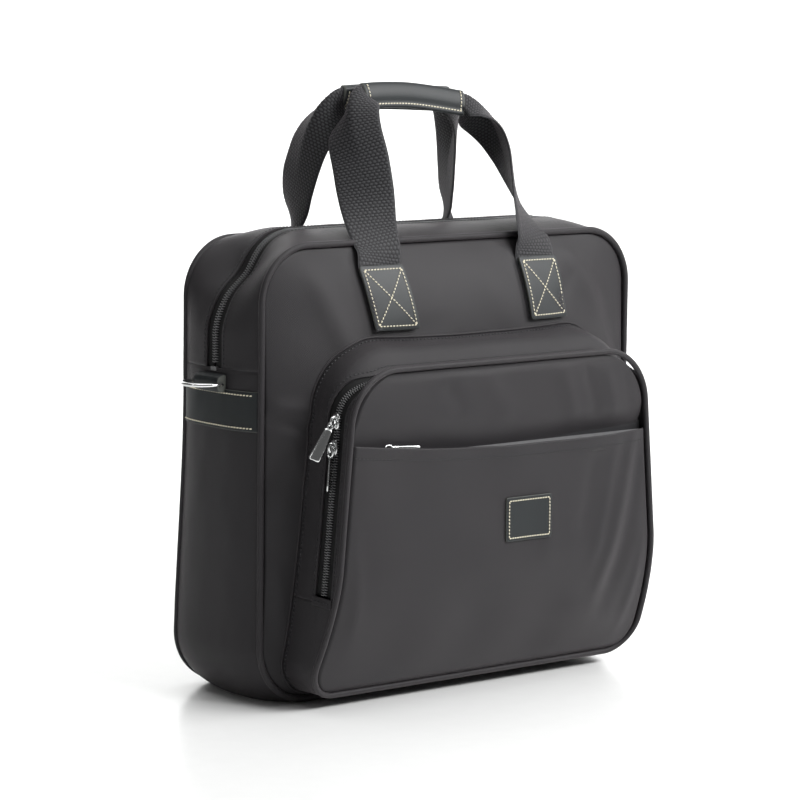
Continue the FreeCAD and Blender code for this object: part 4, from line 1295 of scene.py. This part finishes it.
class BAG_OT_main_zip(Operator):
    """Coil and tape of the main zip"""
    bl_idname = "bag.main_zip"
    bl_label = "Main zip"

    def execute(self, context):
        line, normal = gusset_point(ZIP_ROWS, 0.0), gusset_normal(ZIP_ROWS, np.zeros(len(ZIP_ROWS)))
        run = np.linspace(ZIP_RUN - 2.5, BODY_LENGTH - ZIP_RUN + 2.5, 260)
        for name, side in SIDES:
            tie = {"body": "bag_body"} if side < 0 else {"bends": REAR_FOLD}
            y = side * np.array([0.8, 2.5, 4.5, 6.5, 8.5, 10.5])
            tape = outward(sheet_grid(run, y, gusset_point, -TAPE_DEPTH), BAG_CENTRE)
            sheet("main_zip_" + name, tape, TAPE_WIDTH, "main_zip_coil_" + name, "zip_cloth", "zip_tape",
                  stands_for=["main_zip_tape_" + name], thick=TAPE_T, **tie)
            build("main_coil_" + name, coil_row(line, normal, -side, 1 + side), "coil_nylon", "coil",
                  stands_for=["main_zip_coil_" + name], **tie)
        return {"FINISHED"}


def band_part(side, low, high, thick=1.5):
    """Leather band across the gusset: a strip with rounded edges, flat against the cloth."""
    edge = [(1.5, 0.0, 1), (0.0, 0.0, 1), (0.0, thick - 0.45, 1), (0.15, thick - 0.15, 0.6), (0.5, thick, 0)]
    rows = [(low + a, h, c) for a, h, c in edge]
    rows += [(z, thick, 0) for z in np.linspace(low + 2, high - 2, 9)]
    rows += [(high - a, h, c) for a, h, c in reversed(edge)]
    z, lift, cut = np.array(rows).T
    y = np.linspace(-EDGE_Y - 0.6, EDGE_Y + 0.6, 60)
    s = run_at_height(z)
    lift = lift[:, None] * (0.12 + 0.88 * smooth(EDGE_Y - np.abs(y), -0.5, 3.5))
    points = gusset_point((s if side < 0 else BODY_LENGTH - s)[:, None], y, lift + 0.1)
    cuts = np.broadcast_to(cut[:, None], points.shape[:2])
    return outward_closed(capped(grid(points.transpose(1, 0, 2), (False, True), cuts.T), len(y), len(rows)))


def band_stitches(side, z, pitch):
    """Pale stitches across a band at one height."""
    y = np.linspace(-EDGE_Y + 2.5, EDGE_Y - 2.5, 60)
    s = np.full_like(y, run_at_height(z) if side < 0 else BODY_LENGTH - run_at_height(z))
    return stitches(gusset_point(s, y, 1.6), gusset_normal(s, y), pitch)


def ring_loop(name, side):
    """Leather loop that holds a D-ring: its section seen from the front, carried across, with soft edges."""
    low, high = node_mm("ring_loop_" + name)
    wall, reach = (low[0], high[0]) if side > 0 else (high[0], low[0])
    u = np.array([0.0, 0.55, 0.86, 1.0, 1.02, 1.0, 0.84, 0.5, 0.0, -0.04]) * (reach - wall) + wall
    w = np.array([0.0, -0.02, 0.1, 0.3, 0.5, 0.72, 0.94, 1.05, 1.06, 0.5]) * (high[2] - low[2]) + low[2]
    closed = curve(np.column_stack([np.append(u, u[0]), np.zeros(11), np.append(w, w[0])]), 45)[:-1]
    y = np.array([-1, -0.985, -0.95, -0.4, 0.4, 0.95, 0.985, 1]) * (high[1] - low[1]) / 2
    size = np.array([0.88, 0.97, 1, 1.02, 1.02, 1, 0.97, 0.88])
    middle = closed.mean(0)
    points = middle + (closed - middle) * size[:, None, None]
    points[..., 1] = y[:, None]
    cuts = np.broadcast_to(np.array([1, 0.6, 0, 0, 0, 0, 0.6, 1.0])[:, None], points.shape[:2])
    return outward_closed(capped(grid(points, (False, True), cuts), len(y), len(closed)))


class BAG_OT_side_bands(Operator):
    """Leather bands on the sides and the loops that hold the D-rings"""
    bl_idname = "bag.side_bands"
    bl_label = "Side bands"

    def execute(self, context):
        pitch = sizes()[0]
        for name, side in (("left", -1), ("right", 1)):
            leather("band_" + name, band_part(side, BAND_LOW, BAND_HIGH), "bag_body", "side_band_" + name)
            rows = [band_stitches(side, z, pitch) for z in (BAND_LOW + 2.5, BAND_HIGH - 2.8)]
            sew_leather("band_stitches_" + name, rows, "bag_body")
            leather("loop_" + name, ring_loop(name, side), "bag_body", "ring_loop_" + name)
        return {"FINISHED"}


def sides_of(a, b):
    """The four sides of a rectangle, as pairs of corners."""
    corners = [(-a, -b), (-a, b), (a, b), (a, -b), (-a, -b)]
    return list(zip(corners, corners[1:]))


def ruled(first, last, count):
    """Points spaced evenly between two points of a plane, as two arrays."""
    share = np.linspace(0, 1, count)[:, None]
    return (np.array(first) * (1 - share) + np.array(last) * share).T


PATCH_T = 1.6
PATCH_SEAM = 3.0                         # from a patch's edge in to its stitches


def patch_place(leg, side, a, b, lift):
    """Places and normals over a patch, for points across, up from its middle and at a height over the strap."""
    outer = -1 if leg.endswith("left") else 1
    x = outer * (LEG_X + PATCH_LEAN[leg] * b) + a
    return panel_point(x, PATCH_MIDDLE + b, side, 2 * STRAP_T + 0.4 + lift)


def patch_parts(leg, side, pitch):
    """One leather patch, and its stitches round the edge and across both diagonals."""

    def surface(u, v, h):
        return patch_place(leg, side, u, v, h)[0]

    a, b = PATCH_HALF, (PATCH_TOP - PATCH_LOW) / 2
    c, d = a - PATCH_SEAM, b - PATCH_SEAM
    threads = []
    for first, last in sides_of(c, d) + [((-c, -d), (c, d)), ((-c, d), (c, -d))]:
        u, v = ruled(first, last, 24)
        place, normal = patch_place(leg, side, u, v, np.full(len(u), PATCH_T))
        threads.append(stitches(place, normal, pitch))
    return slab((a, b), 2.2, PATCH_T, surface, rings=14, count=96), threads


def grip_stitches(points, pitch):
    """Stitches along both lower edges of a grip and across its two ends."""
    stations, count = points.shape[:2]
    away = unit(points - points.mean(1, keepdims=True))
    flank = unit(np.cross(np.gradient(points, axis=0), np.gradient(points, axis=1)))
    flank = flank * np.sign((flank * away).sum(-1, keepdims=True))
    places = [(slice(2, -2), k) for k in (20, count - 20)]
    places += [(k, slice(first, last)) for first, last in ((4, 21), (count - 21, count - 4))
               for k in (3, stations - 4)]
    return [stitches(points[at], flank[at], pitch) for at in places]


class BAG_OT_handles(Operator):
    """Webbing handles, leather grips and the stitched patches that hold them"""
    bl_idname = "bag.handles"
    bl_label = "Handles"

    def execute(self, context):
        pitch, _, _, rib = sizes()
        for name, side in SIDES:
            base, top = ("bag_body", "front_handle") if side < 0 else ("rear_flap", "rear_handle")
            fold = (base, top, (0, side * HINGE_Y, HINGE_Z - 4), (0, side * HINGE_Y, HINGE_Z + 11))
            legs = [name + "_left", name + "_right"]
            straps = [build("webbing_" + leg, webbing(leg, rib), "webbing_weave", "webbing", bends=fold)
                      for leg in legs]
            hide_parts(name + "_webbing", name + "_strap_ends")
            points = grip_surface(side)
            cuts = np.zeros(points.shape[:2])
            cuts[[0, -1]] = 1.0
            grip = outward_closed(capped(grid(points, (False, True), cuts), *points.shape[:2]))
            leather("grip_" + name, grip, top, name + "_grip")
            sew_leather("grip_stitches_" + name, grip_stitches(points, pitch), top)
            patches, threads = zip(*[patch_parts(leg, side, pitch) for leg in legs])
            leather("patches_" + name, list(patches), base, name + "_patches")
            sew_leather("patch_stitches_" + name, sum(threads, []), base)
        return {"FINISHED"}


POCKET_SIDE = pocket_run_at(POCKET_ZIP_END)
POCKET_ROW_RUN = pocket_run_at(POCKET_ROW_START)
POCKET_ROWS = np.linspace(POCKET_ROW_RUN, POCKET_LENGTH - POCKET_ROW_RUN, 800)
POCKET_FOLD = ("bag_body", "pocket_face", (0, -84, 60), (0, -98, 60))


def rear_edge(s):
    """Where the pocket's side cloth ends behind, just inside the front panel."""
    return seam_y(s) + 1.5


def front_edge(s):
    """Where the pocket's side cloth ends in front, under the piping."""
    line, _ = pocket_line(s, -POCKET_FACE)
    return face_y(line[..., 1]) + 3.2


def pocket_strip(s, start, end, hem=0, count=18):
    """Cloth of the pocket's side between two distances in front; hem turns its edge down at its end."""
    share = np.linspace(0, 1, count)
    y = start[:, None] + (end - start)[:, None] * share
    lift = np.zeros(y.shape)
    if hem:
        y = np.concatenate([y[:, :-1], end[:, None] + hem * HEM_Y], 1)
        lift = np.concatenate([lift[:, :-1], np.broadcast_to(HEM_LIFT, (len(s), 4))], 1)
    return outward(grid(pocket_point(s[:, None], y, lift)), POCKET_CENTRE)


def pocket_out(s, y, along):
    """Outward normals of the pocket's side along a line on it, square to the line."""
    _, flat = pocket_line(s, y)
    normal = np.stack([flat[..., 0], 0 * s, flat[..., 1]], -1)
    return unit(normal - (normal * along).sum(1, keepdims=True) * along)


def pocket_stitches(s, y, pitch, radius=0.36):
    """Dark stitches along the pocket's side."""
    line = pocket_point(s, y, 0.0)
    return stitches(line, pocket_out(s, y, unit(np.gradient(line, axis=0))), pitch, radius=radius, lift=0.05)


class BAG_OT_pocket(Operator):
    """Side cloth and piping of the front pocket"""
    bl_idname = "bag.pocket"
    bl_label = "Front pocket"

    def execute(self, context):
        _, pitch, wall, _ = sizes()
        low = np.linspace(POCKET_LENGTH - POCKET_SIDE, POCKET_LENGTH + POCKET_SIDE, 240)
        high = np.linspace(POCKET_SIDE, POCKET_LENGTH - POCKET_SIDE, 360)
        behind, before = zip_y(high) + zip_window(high), zip_y(high) - zip_window(high)
        sheet("pocket_side_lower", pocket_strip(low, rear_edge(low), front_edge(low), count=30), 0.045,
              "padded_front", bends=POCKET_FOLD, stands_for=["pocket_gusset_lower"], thick=wall)
        sheet("pocket_side_rear", pocket_strip(high, rear_edge(high), behind, hem=1), 0.014, "padded_front",
              body="bag_body", stands_for=["pocket_gusset_rear"], thick=wall)
        sheet("pocket_side_front", pocket_strip(high, front_edge(high), before, hem=-1, count=10), TAPE_WIDTH,
              "pocket_cord", body="pocket_face", stands_for=["pocket_gusset_front"], thick=wall)

        ring = np.linspace(0, POCKET_LENGTH, 500, endpoint=False)
        fold = tube(pocket_point(ring, seam_y(ring) + 0.1, 0.9), 0.95, sides=8, closed=True)
        build("pocket_fold", fold, "piping_nylon", "nylon", "bag_body")
        rows = [("pocket_seam", high, seam_y(high) - 3.0, 0.62, "bag_body"),
                ("pocket_seam_lower", low, seam_y(low) - 3.0, 0.62, "bag_body"),
                ("pocket_zip_seam_rear", high, behind + 2.4, 0.36, "bag_body"),
                ("pocket_zip_seam_front", high, before - 2.4, 0.36, "pocket_face")]
        for name, s, y, radius, body in rows:
            sew(name, pocket_stitches(s, y, pitch, radius), body)

        s = np.linspace(0, POCKET_LENGTH, 460, endpoint=False)
        line, normal = pocket_line(s, -POCKET_FACE)
        inner = line - normal * POCKET_PIPE_R
        path = np.column_stack([inner[:, 0], face_y(inner[:, 1]) + POCKET_PIPE_R, inner[:, 1]])
        cord = tube(path, POCKET_PIPE_R + 0.08 * ripple(s, s, 41, 40, 1.0), sides=14, closed=True)
        build("pocket_cord", cord, "piping_nylon", "piping", "pocket_face", stands_for=["pocket_piping"])
        return {"FINISHED"}


def end_tab(left, pitch):
    """Cloth tab over one end of the pocket's zip, and the stitches across it."""
    middle = pocket_run_at(POCKET_ZIP_END + 1.0)

    def surface(u, v, h):
        run = middle + v
        return pocket_point(run if left else POCKET_LENGTH - run, POCKET_ZIP_Y + u, h + 0.15)

    y = np.linspace(POCKET_ZIP_Y - 9, POCKET_ZIP_Y + 9, 20)
    at = np.full(20, middle if left else POCKET_LENGTH - middle)
    _, flat = pocket_line(at, y)
    normal = np.stack([flat[:, 0], 0 * y, flat[:, 1]], -1)
    return (slab((WINDOW + 2.2, 3.4), 0.8, 0.9, surface, rings=7, count=56),
            stitches(pocket_point(at, y, 1.05), normal, pitch, radius=0.36))


class BAG_OT_pocket_zip(Operator):
    """Coil, tape and end tabs of the pocket's zip"""
    bl_idname = "bag.pocket_zip"
    bl_label = "Pocket zip"

    def execute(self, context):
        s = POCKET_ROWS
        y = zip_y(s)
        line = pocket_point(s, y)
        normal = pocket_out(s, y, unit(np.gradient(line, axis=0)))
        for (name, side), body in zip(SIDES, ("pocket_face", "bag_body")):
            reach = side * np.array([0.8, 2.5, 4.0, 5.5, 7.5, 10.2])
            wide = np.minimum(np.abs(reach), zip_window(s[::3])[:, None] + 1.2) * side
            tape = outward(grid(pocket_point(s[::3, None], y[::3, None] + wide, -TAPE_DEPTH)), POCKET_CENTRE)
            sheet("pocket_zip_" + name, tape, TAPE_WIDTH, "pocket_coil_" + name, "zip_cloth", "zip_tape",
                  body=body, stands_for=["pocket_zip_tape_" + name], thick=TAPE_T)
            build("pocket_coil_" + name, coil_row(line, normal, -side, 1 + side), "coil_nylon", "coil", body,
                  stands_for=["pocket_zip_coil_" + name])
        tabs, threads = zip(*[end_tab(left, sizes()[1]) for left in (True, False)])
        build("pocket_tabs", list(tabs), "nylon", "nylon", "bag_body", stands_for=["pocket_zip_end_tabs"])
        sew("pocket_tab_stitches", list(threads), "bag_body")
        return {"FINISHED"}


FACE_INSET = 4.0                         # from the pocket's outline in to the edge of its face
FRONTWARD = (0.0, -1.0, 0.0)
COLUMNS = np.sin(np.linspace(-1, 1, 150) * np.pi / 2 * 0.97) / math.sin(np.pi / 2 * 0.97)


def edge_tuck(depth):
    """How far the face's cloth sinks at its left and right edges."""
    return depth * (smooth(np.abs(COLUMNS), 0.965, 1.0) ** 2)


def slip_cloth():
    """The slip pocket's front from the piping up to its mouth, where the edge is turned back."""
    low = POCKET_FOOT + FACE_INSET + 0.2
    rise = 1 - (1 - np.linspace(0, 1, 96)[:, None]) ** 1.15
    # the rows are laid once at one width, then again at the width the face has at their own heights
    x = COLUMNS * face_half(np.full(150, 150.0), FACE_INSET)
    x = COLUMNS * face_half(low + (mouth_z(x) - low) * rise, FACE_INSET)
    z = low + (mouth_z(x) - low) * rise
    y = slip_y(x, z) + (edge_tuck(3.0) + 2.6 * (1 - smooth(z, low, low + 5)) ** 2)
    turned = np.array([(-0.25, 0.15), (0.0, 0.75), (-0.35, 1.3), (-5.0, 1.5), (-12.0, 1.6)])
    back = [np.stack([x[-1], y[-1] + dy, z[-1] + dz], -1) for dz, dy in turned]
    return outward(grid(np.concatenate([np.stack([x, y, z], -1)[:-1], np.stack(back)])), (0, 0, 100))


def pocket_top():
    """The padded cloth above the slip pocket, from inside its mouth up to the piping."""
    high = POCKET_TOP - FACE_INSET - 0.2
    start = mouth_z(COLUMNS * face_half(np.full(150, 225.0), FACE_INSET)) - 10.0
    z = start + (high - start) * (np.linspace(0, 1, 60)[:, None] ** 0.9)
    x = COLUMNS * face_half(z, FACE_INSET)
    y = upper_y(x, z) + (edge_tuck(2.4) + 2.4 * smooth(z, high - 5, high) ** 2)
    return outward(grid(np.stack([x, y, z], -1)), (0, 0, 230))


def slip_bar():
    """Pull of the slip pocket: an eye and a bar, lying along the mouth."""
    x = np.array([6.0, 6.4, 7.4, 18, 32.0, 33.2, 33.6])
    wide = np.array([0.8, 1.4, 1.7, 1.9, 2.1, 1.8, 1.2])
    thick = np.array([0.35, 0.6, 0.7, 0.75, 0.75, 0.6, 0.35])
    a = np.array([1.0, 0.7, 0.0, -0.7, -1.0, -0.7, 0.0, 0.7])
    b = np.array([0.0, 0.75, 1.0, 0.75, 0.0, -0.75, -1.0, -0.75])
    bar = np.stack([np.broadcast_to(x[:, None], (7, 8)), thick[:, None] * b, wide[:, None] * a], -1)
    angle = circle(24)
    eye = np.column_stack([2.9 + 3.6 * np.cos(angle), 0 * angle, 2.1 * np.sin(angle)])
    made = join([tube(eye, 0.62, sides=8, closed=True), outward(capped(grid(bar, (False, True)), 7, 8))])
    x0 = node_mm("slip_pull")[0][0] + 3.0
    raised = float(mouth_z(x0 + 4)) - 0.2
    depth = float(slip_y(np.array(x0 + 16), np.array(raised))) + 1.9
    return moved(made, (x0 + 4.0, depth, raised), [(0.9967, 0, -0.081), (0, 1, 0), (0.081, 0, 0.9967)])


class BAG_OT_pocket_face(Operator):
    """The pocket's face: the cloth above, the slip pocket with its hem, and the slip pocket's pull"""
    bl_idname = "bag.pocket_face"
    bl_label = "Pocket face and slip pocket"

    def execute(self, context):
        _, pitch, wall, _ = sizes()
        sheet("slip_pocket_cloth", slip_cloth(), 0.33, "pocket_cord", body="pocket_face",
              stands_for=["slip_pocket_panel"], thick=0.5)
        x = np.linspace(-148, 146, 300)
        z = mouth_z(x) - 9.0
        place = np.stack([x, slip_y(x, z), z], -1)
        hem = stitches(place, np.broadcast_to(FRONTWARD, place.shape), pitch, radius=0.34, lift=0.02)
        sew("slip_hem_stitches", hem, "pocket_face")
        piece = build("padded_pocket_top", pocket_top(), "nylon", "nylon", "pocket_face",
                      stands_for=["pocket_upper_panel"], thick=wall)
        metal("slip_pull_bar", slip_bar(), "slip_pull")
        return {"FINISHED"}


LABEL_T = 1.5
LABEL_SEAM = 2.6


class BAG_OT_label(Operator):
    """Bare leather label with a stitched border on the slip pocket"""
    bl_idname = "bag.label"
    bl_label = "Label"

    def execute(self, context):
        low, high = node_mm("label_patch")
        cx, cz = (low[0] + high[0]) / 2, (low[2] + high[2]) / 2
        a, b = (high[0] - low[0]) / 2, (high[2] - low[2]) / 2

        def surface(u, v, h):
            return np.stack([cx + u, slip_y(cx + u, cz + v) - 0.1 - h, cz + v], -1)

        made = slab((a, b), 1.6, LABEL_T, surface, rings=12, count=96)
        leather("label_leather", made, "pocket_face", "label_patch")
        threads = []
        for first, last in sides_of(a - LABEL_SEAM, b - LABEL_SEAM):
            place = surface(*ruled(first, last, 20), LABEL_T)
            threads.append(stitches(place, np.broadcast_to(FRONTWARD, place.shape), sizes()[0] * 0.9))
        sew_leather("label_stitches", threads, "pocket_face")
        return {"FINISHED"}


# each zip's direction, the way out of it, how far its lower and upper pull are propped, and how far they turn
SIDEWAYS = unit(np.array([POCKET_TAPER, 0, 1.0]))
SLIDERS = {"main": ((0, 0, 1.0), (1.0, 0, 0), (PROPPED, PROPPED), (10.0, -8.0)),
           "pocket": (SIDEWAYS, (-SIDEWAYS[2], 0, SIDEWAYS[0]), (0.0, PROPPED), (-42.0, 42.0))}


class BAG_OT_sliders(Operator):
    """Sliders and pulls of the main zip and the pocket's zip"""
    bl_idname = "bag.sliders"
    bl_label = "Sliders and pulls"

    def execute(self, context):
        for zip_name, (along, out, props, turns) in SLIDERS.items():
            axes = zip_frame(along, out)
            for place, prop, tab_turn in zip(("lower", "upper"), props, turns):
                node = "%s_slider_%s" % (zip_name, place)
                low, high = node_mm(node)
                # the slider's own middle lies this far out from the top of the coil
                middle = (low + high) / 2 - axes[2] * (((high - low) @ np.abs(axes[2])) / 2 - 3.5)
                if zip_name == "pocket":
                    s = pocket_run_at(middle[2])
                    middle = pocket_point(s, zip_y(s))
                body = moved(slider_body(), middle, axes)
                metal("%s_slider_body_%s" % (zip_name, place), body, node)
                tab = moved(tilted(pull_tab(tab_turn), prop), middle + axes[2] * PIN_HEIGHT, axes)
                metal("%s_pull_tab_%s" % (zip_name, place), tab, "%s_pull_%s" % (zip_name, place))
        return {"FINISHED"}


# ---------------------------------------------------------------- stage

TARGET = np.array([-0.01154, MIDDLE * MM, 0.21634])      # the point the camera looks at, in metres
ROLL = math.radians(0.67)
LENS = 154.7325
FLOOR_NEAR, FLOOR_FAR, SWEEP_REACH, SWEEP_RISE = 3.2, 2.6, 1.2, 3.6


def seen_from(axes, at):
    """World matrix of a camera or light from its three axes and its place, in metres."""
    matrix = np.eye(4)
    matrix[:3, :3] = np.stack(axes).T
    matrix[:3, 3] = at
    return Matrix(matrix.tolist())


def lamp(name, at, size, watts, back, up):
    """Soft rectangular light at a place, with its back turned along one direction."""
    light = bpy.data.lights.new(name, "AREA")
    light.shape, light.energy = "RECTANGLE", watts
    light.size, light.size_y = size
    holder = bpy.data.objects.new(name, light)
    back = unit(back)
    side = unit(np.cross(up, back))
    holder.matrix_world = seen_from((side, np.cross(back, side), back), at)
    bpy.context.scene.collection.objects.link(holder)


def stage_floor(azimuth):
    """Pale floor that runs away from the camera and sweeps up behind the bag."""
    t = np.linspace(0, 1, 40)
    bend = np.clip((t - 0.5) * np.pi, 0, np.pi / 2)
    reach = np.where(t < 0.5, FLOOR_FAR * t * 2, FLOOR_FAR + SWEEP_REACH * np.sin(bend))
    high = np.where(t < 0.5, 0.0, SWEEP_RISE * (1 - np.cos(bend)))
    reach, high = np.append(-FLOOR_NEAR, reach), np.append(0.0, high)
    away = np.array([math.sin(-azimuth), math.cos(azimuth)])
    across = np.array([away[1], -away[0]])
    flat = away * reach[:, None, None] + across * np.linspace(-4, 4, 9)[:, None]
    points = np.concatenate([flat, np.broadcast_to(high[:, None, None], flat.shape[:2] + (1,))], -1)
    made = grid(points / MM)
    mesh = bpy.data.meshes.new("floor")
    mesh.from_pydata((made["points"] * MM).tolist(), [], made["faces"][0].tolist())
    mesh.polygons.foreach_set("use_smooth", np.ones(len(mesh.polygons), bool))
    floor = bpy.data.objects.new("floor", mesh)
    bpy.context.scene.collection.objects.link(floor)
    tree, shader = blank("floor_white")
    tone = use(tree, "cloudy", Place=place_of(tree), Size=2.0, Grain=60.0)
    feed(tree, shader, {
        "Base Color": between(tree, tone["Slow"], (0.86, 0.865, 0.86, 1), (0.9, 0.905, 0.9, 1)),
        "Roughness": span(tree, tone["Fine"], 0.2, 0.26)})
    mesh.materials.append(FINISHES["floor_white"])


class BAG_OT_stage(Operator):
    """Pale floor, soft lights and the camera"""
    bl_idname = "bag.stage"
    bl_label = "Stage"

    def execute(self, context):
        scene, given = context.scene, context.scene.bag_stage
        scene.view_settings.view_transform = "Standard"
        stage_floor(given.azimuth)
        world = bpy.data.worlds.new("studio")
        world.use_nodes = True
        feed(world.node_tree, world.node_tree.nodes["Background"], {0: (1.0, 1.0, 1.0, 1), 1: 0.10})
        scene.world = world

        az, el = given.azimuth, given.elevation
        away = np.array([math.sin(az) * math.cos(el), -math.cos(az) * math.cos(el), math.sin(el)])
        right = np.array([math.cos(az), math.sin(az), 0.0])
        up = np.cross(away, right)
        lens = bpy.data.cameras.new("camera")
        lens.sensor_width = 36.0
        lens.lens = LENS
        lens.clip_end = 100.0
        camera = bpy.data.objects.new("camera", lens)
        camera.matrix_world = seen_from((math.cos(ROLL) * right + math.sin(ROLL) * up,
                                         math.cos(ROLL) * up - math.sin(ROLL) * right, away),
                                        TARGET + away * given.distance)
        scene.collection.objects.link(camera)
        scene.camera = camera

        for name, at, size, watts in (("key", (0.9, -2.0, 1.85), (1.5, 0.8), given.key),
                                      ("side", (1.9, -1.2, 1.3), (0.5, 1.4), given.strip),
                                      ("top", (0.1, 0.2, 3.2), (4.2, 3.4), given.top),
                                      ("left", (-2.3, 0.3, 1.2), (0.3, 1.8), 2.5)):
            lamp(name, at, size, watts, np.array(at) - (0, 0, 0.2), (0.02, 0.03, 1.0))
        behind = np.array([-math.sin(az), math.cos(az), 0.0])
        lamp("backdrop", behind * 1.5 + (0, 0, 2.6), (5.0, 0.8), given.backdrop, -behind + (0, 0, 0.35),
             (0, 0, 1.0))
        return {"FINISHED"}


PIECES = (BAG_OT_finishes, BAG_OT_gusset, BAG_OT_panels, BAG_OT_piping, BAG_OT_main_zip, BAG_OT_side_bands,
          BAG_OT_handles, BAG_OT_pocket, BAG_OT_pocket_zip, BAG_OT_pocket_face, BAG_OT_label, BAG_OT_sliders,
          BAG_OT_stage)


class BAG_PT_pieces(Panel):
    """Buttons for the bag's pieces and its stage, and their settings"""
    bl_idname = "BAG_PT_pieces"
    bl_label = "Flight bag"
    bl_space_type = "VIEW_3D"
    bl_region_type = "UI"
    bl_category = "Flight bag"

    def draw(self, context):
        for piece in PIECES:
            self.layout.operator(piece.bl_idname)
        for settings in (context.scene.bag_sizes, context.scene.bag_colours, context.scene.bag_stage):
            box = self.layout.box()
            for name in settings.__annotations__:
                box.prop(settings, name)


CLASSES = (BagSizes, BagColours, StageSettings, *PIECES, BAG_PT_pieces)


def register():
    for made in CLASSES:
        bpy.utils.register_class(made)
    bpy.types.Scene.bag_sizes = PointerProperty(type=BagSizes)
    bpy.types.Scene.bag_colours = PointerProperty(type=BagColours)
    bpy.types.Scene.bag_stage = PointerProperty(type=StageSettings)


def unregister():
    del bpy.types.Scene.bag_sizes, bpy.types.Scene.bag_colours, bpy.types.Scene.bag_stage
    for made in reversed(CLASSES):
        bpy.utils.unregister_class(made)


def main():
    register()
    for piece in PIECES:
        call = getattr(bpy.ops.bag, piece.bl_idname.split(".")[1])
        if call() != {"FINISHED"}:
            raise RuntimeError(piece.bl_label + " was not made")


if __name__ == "__main__":
    main()
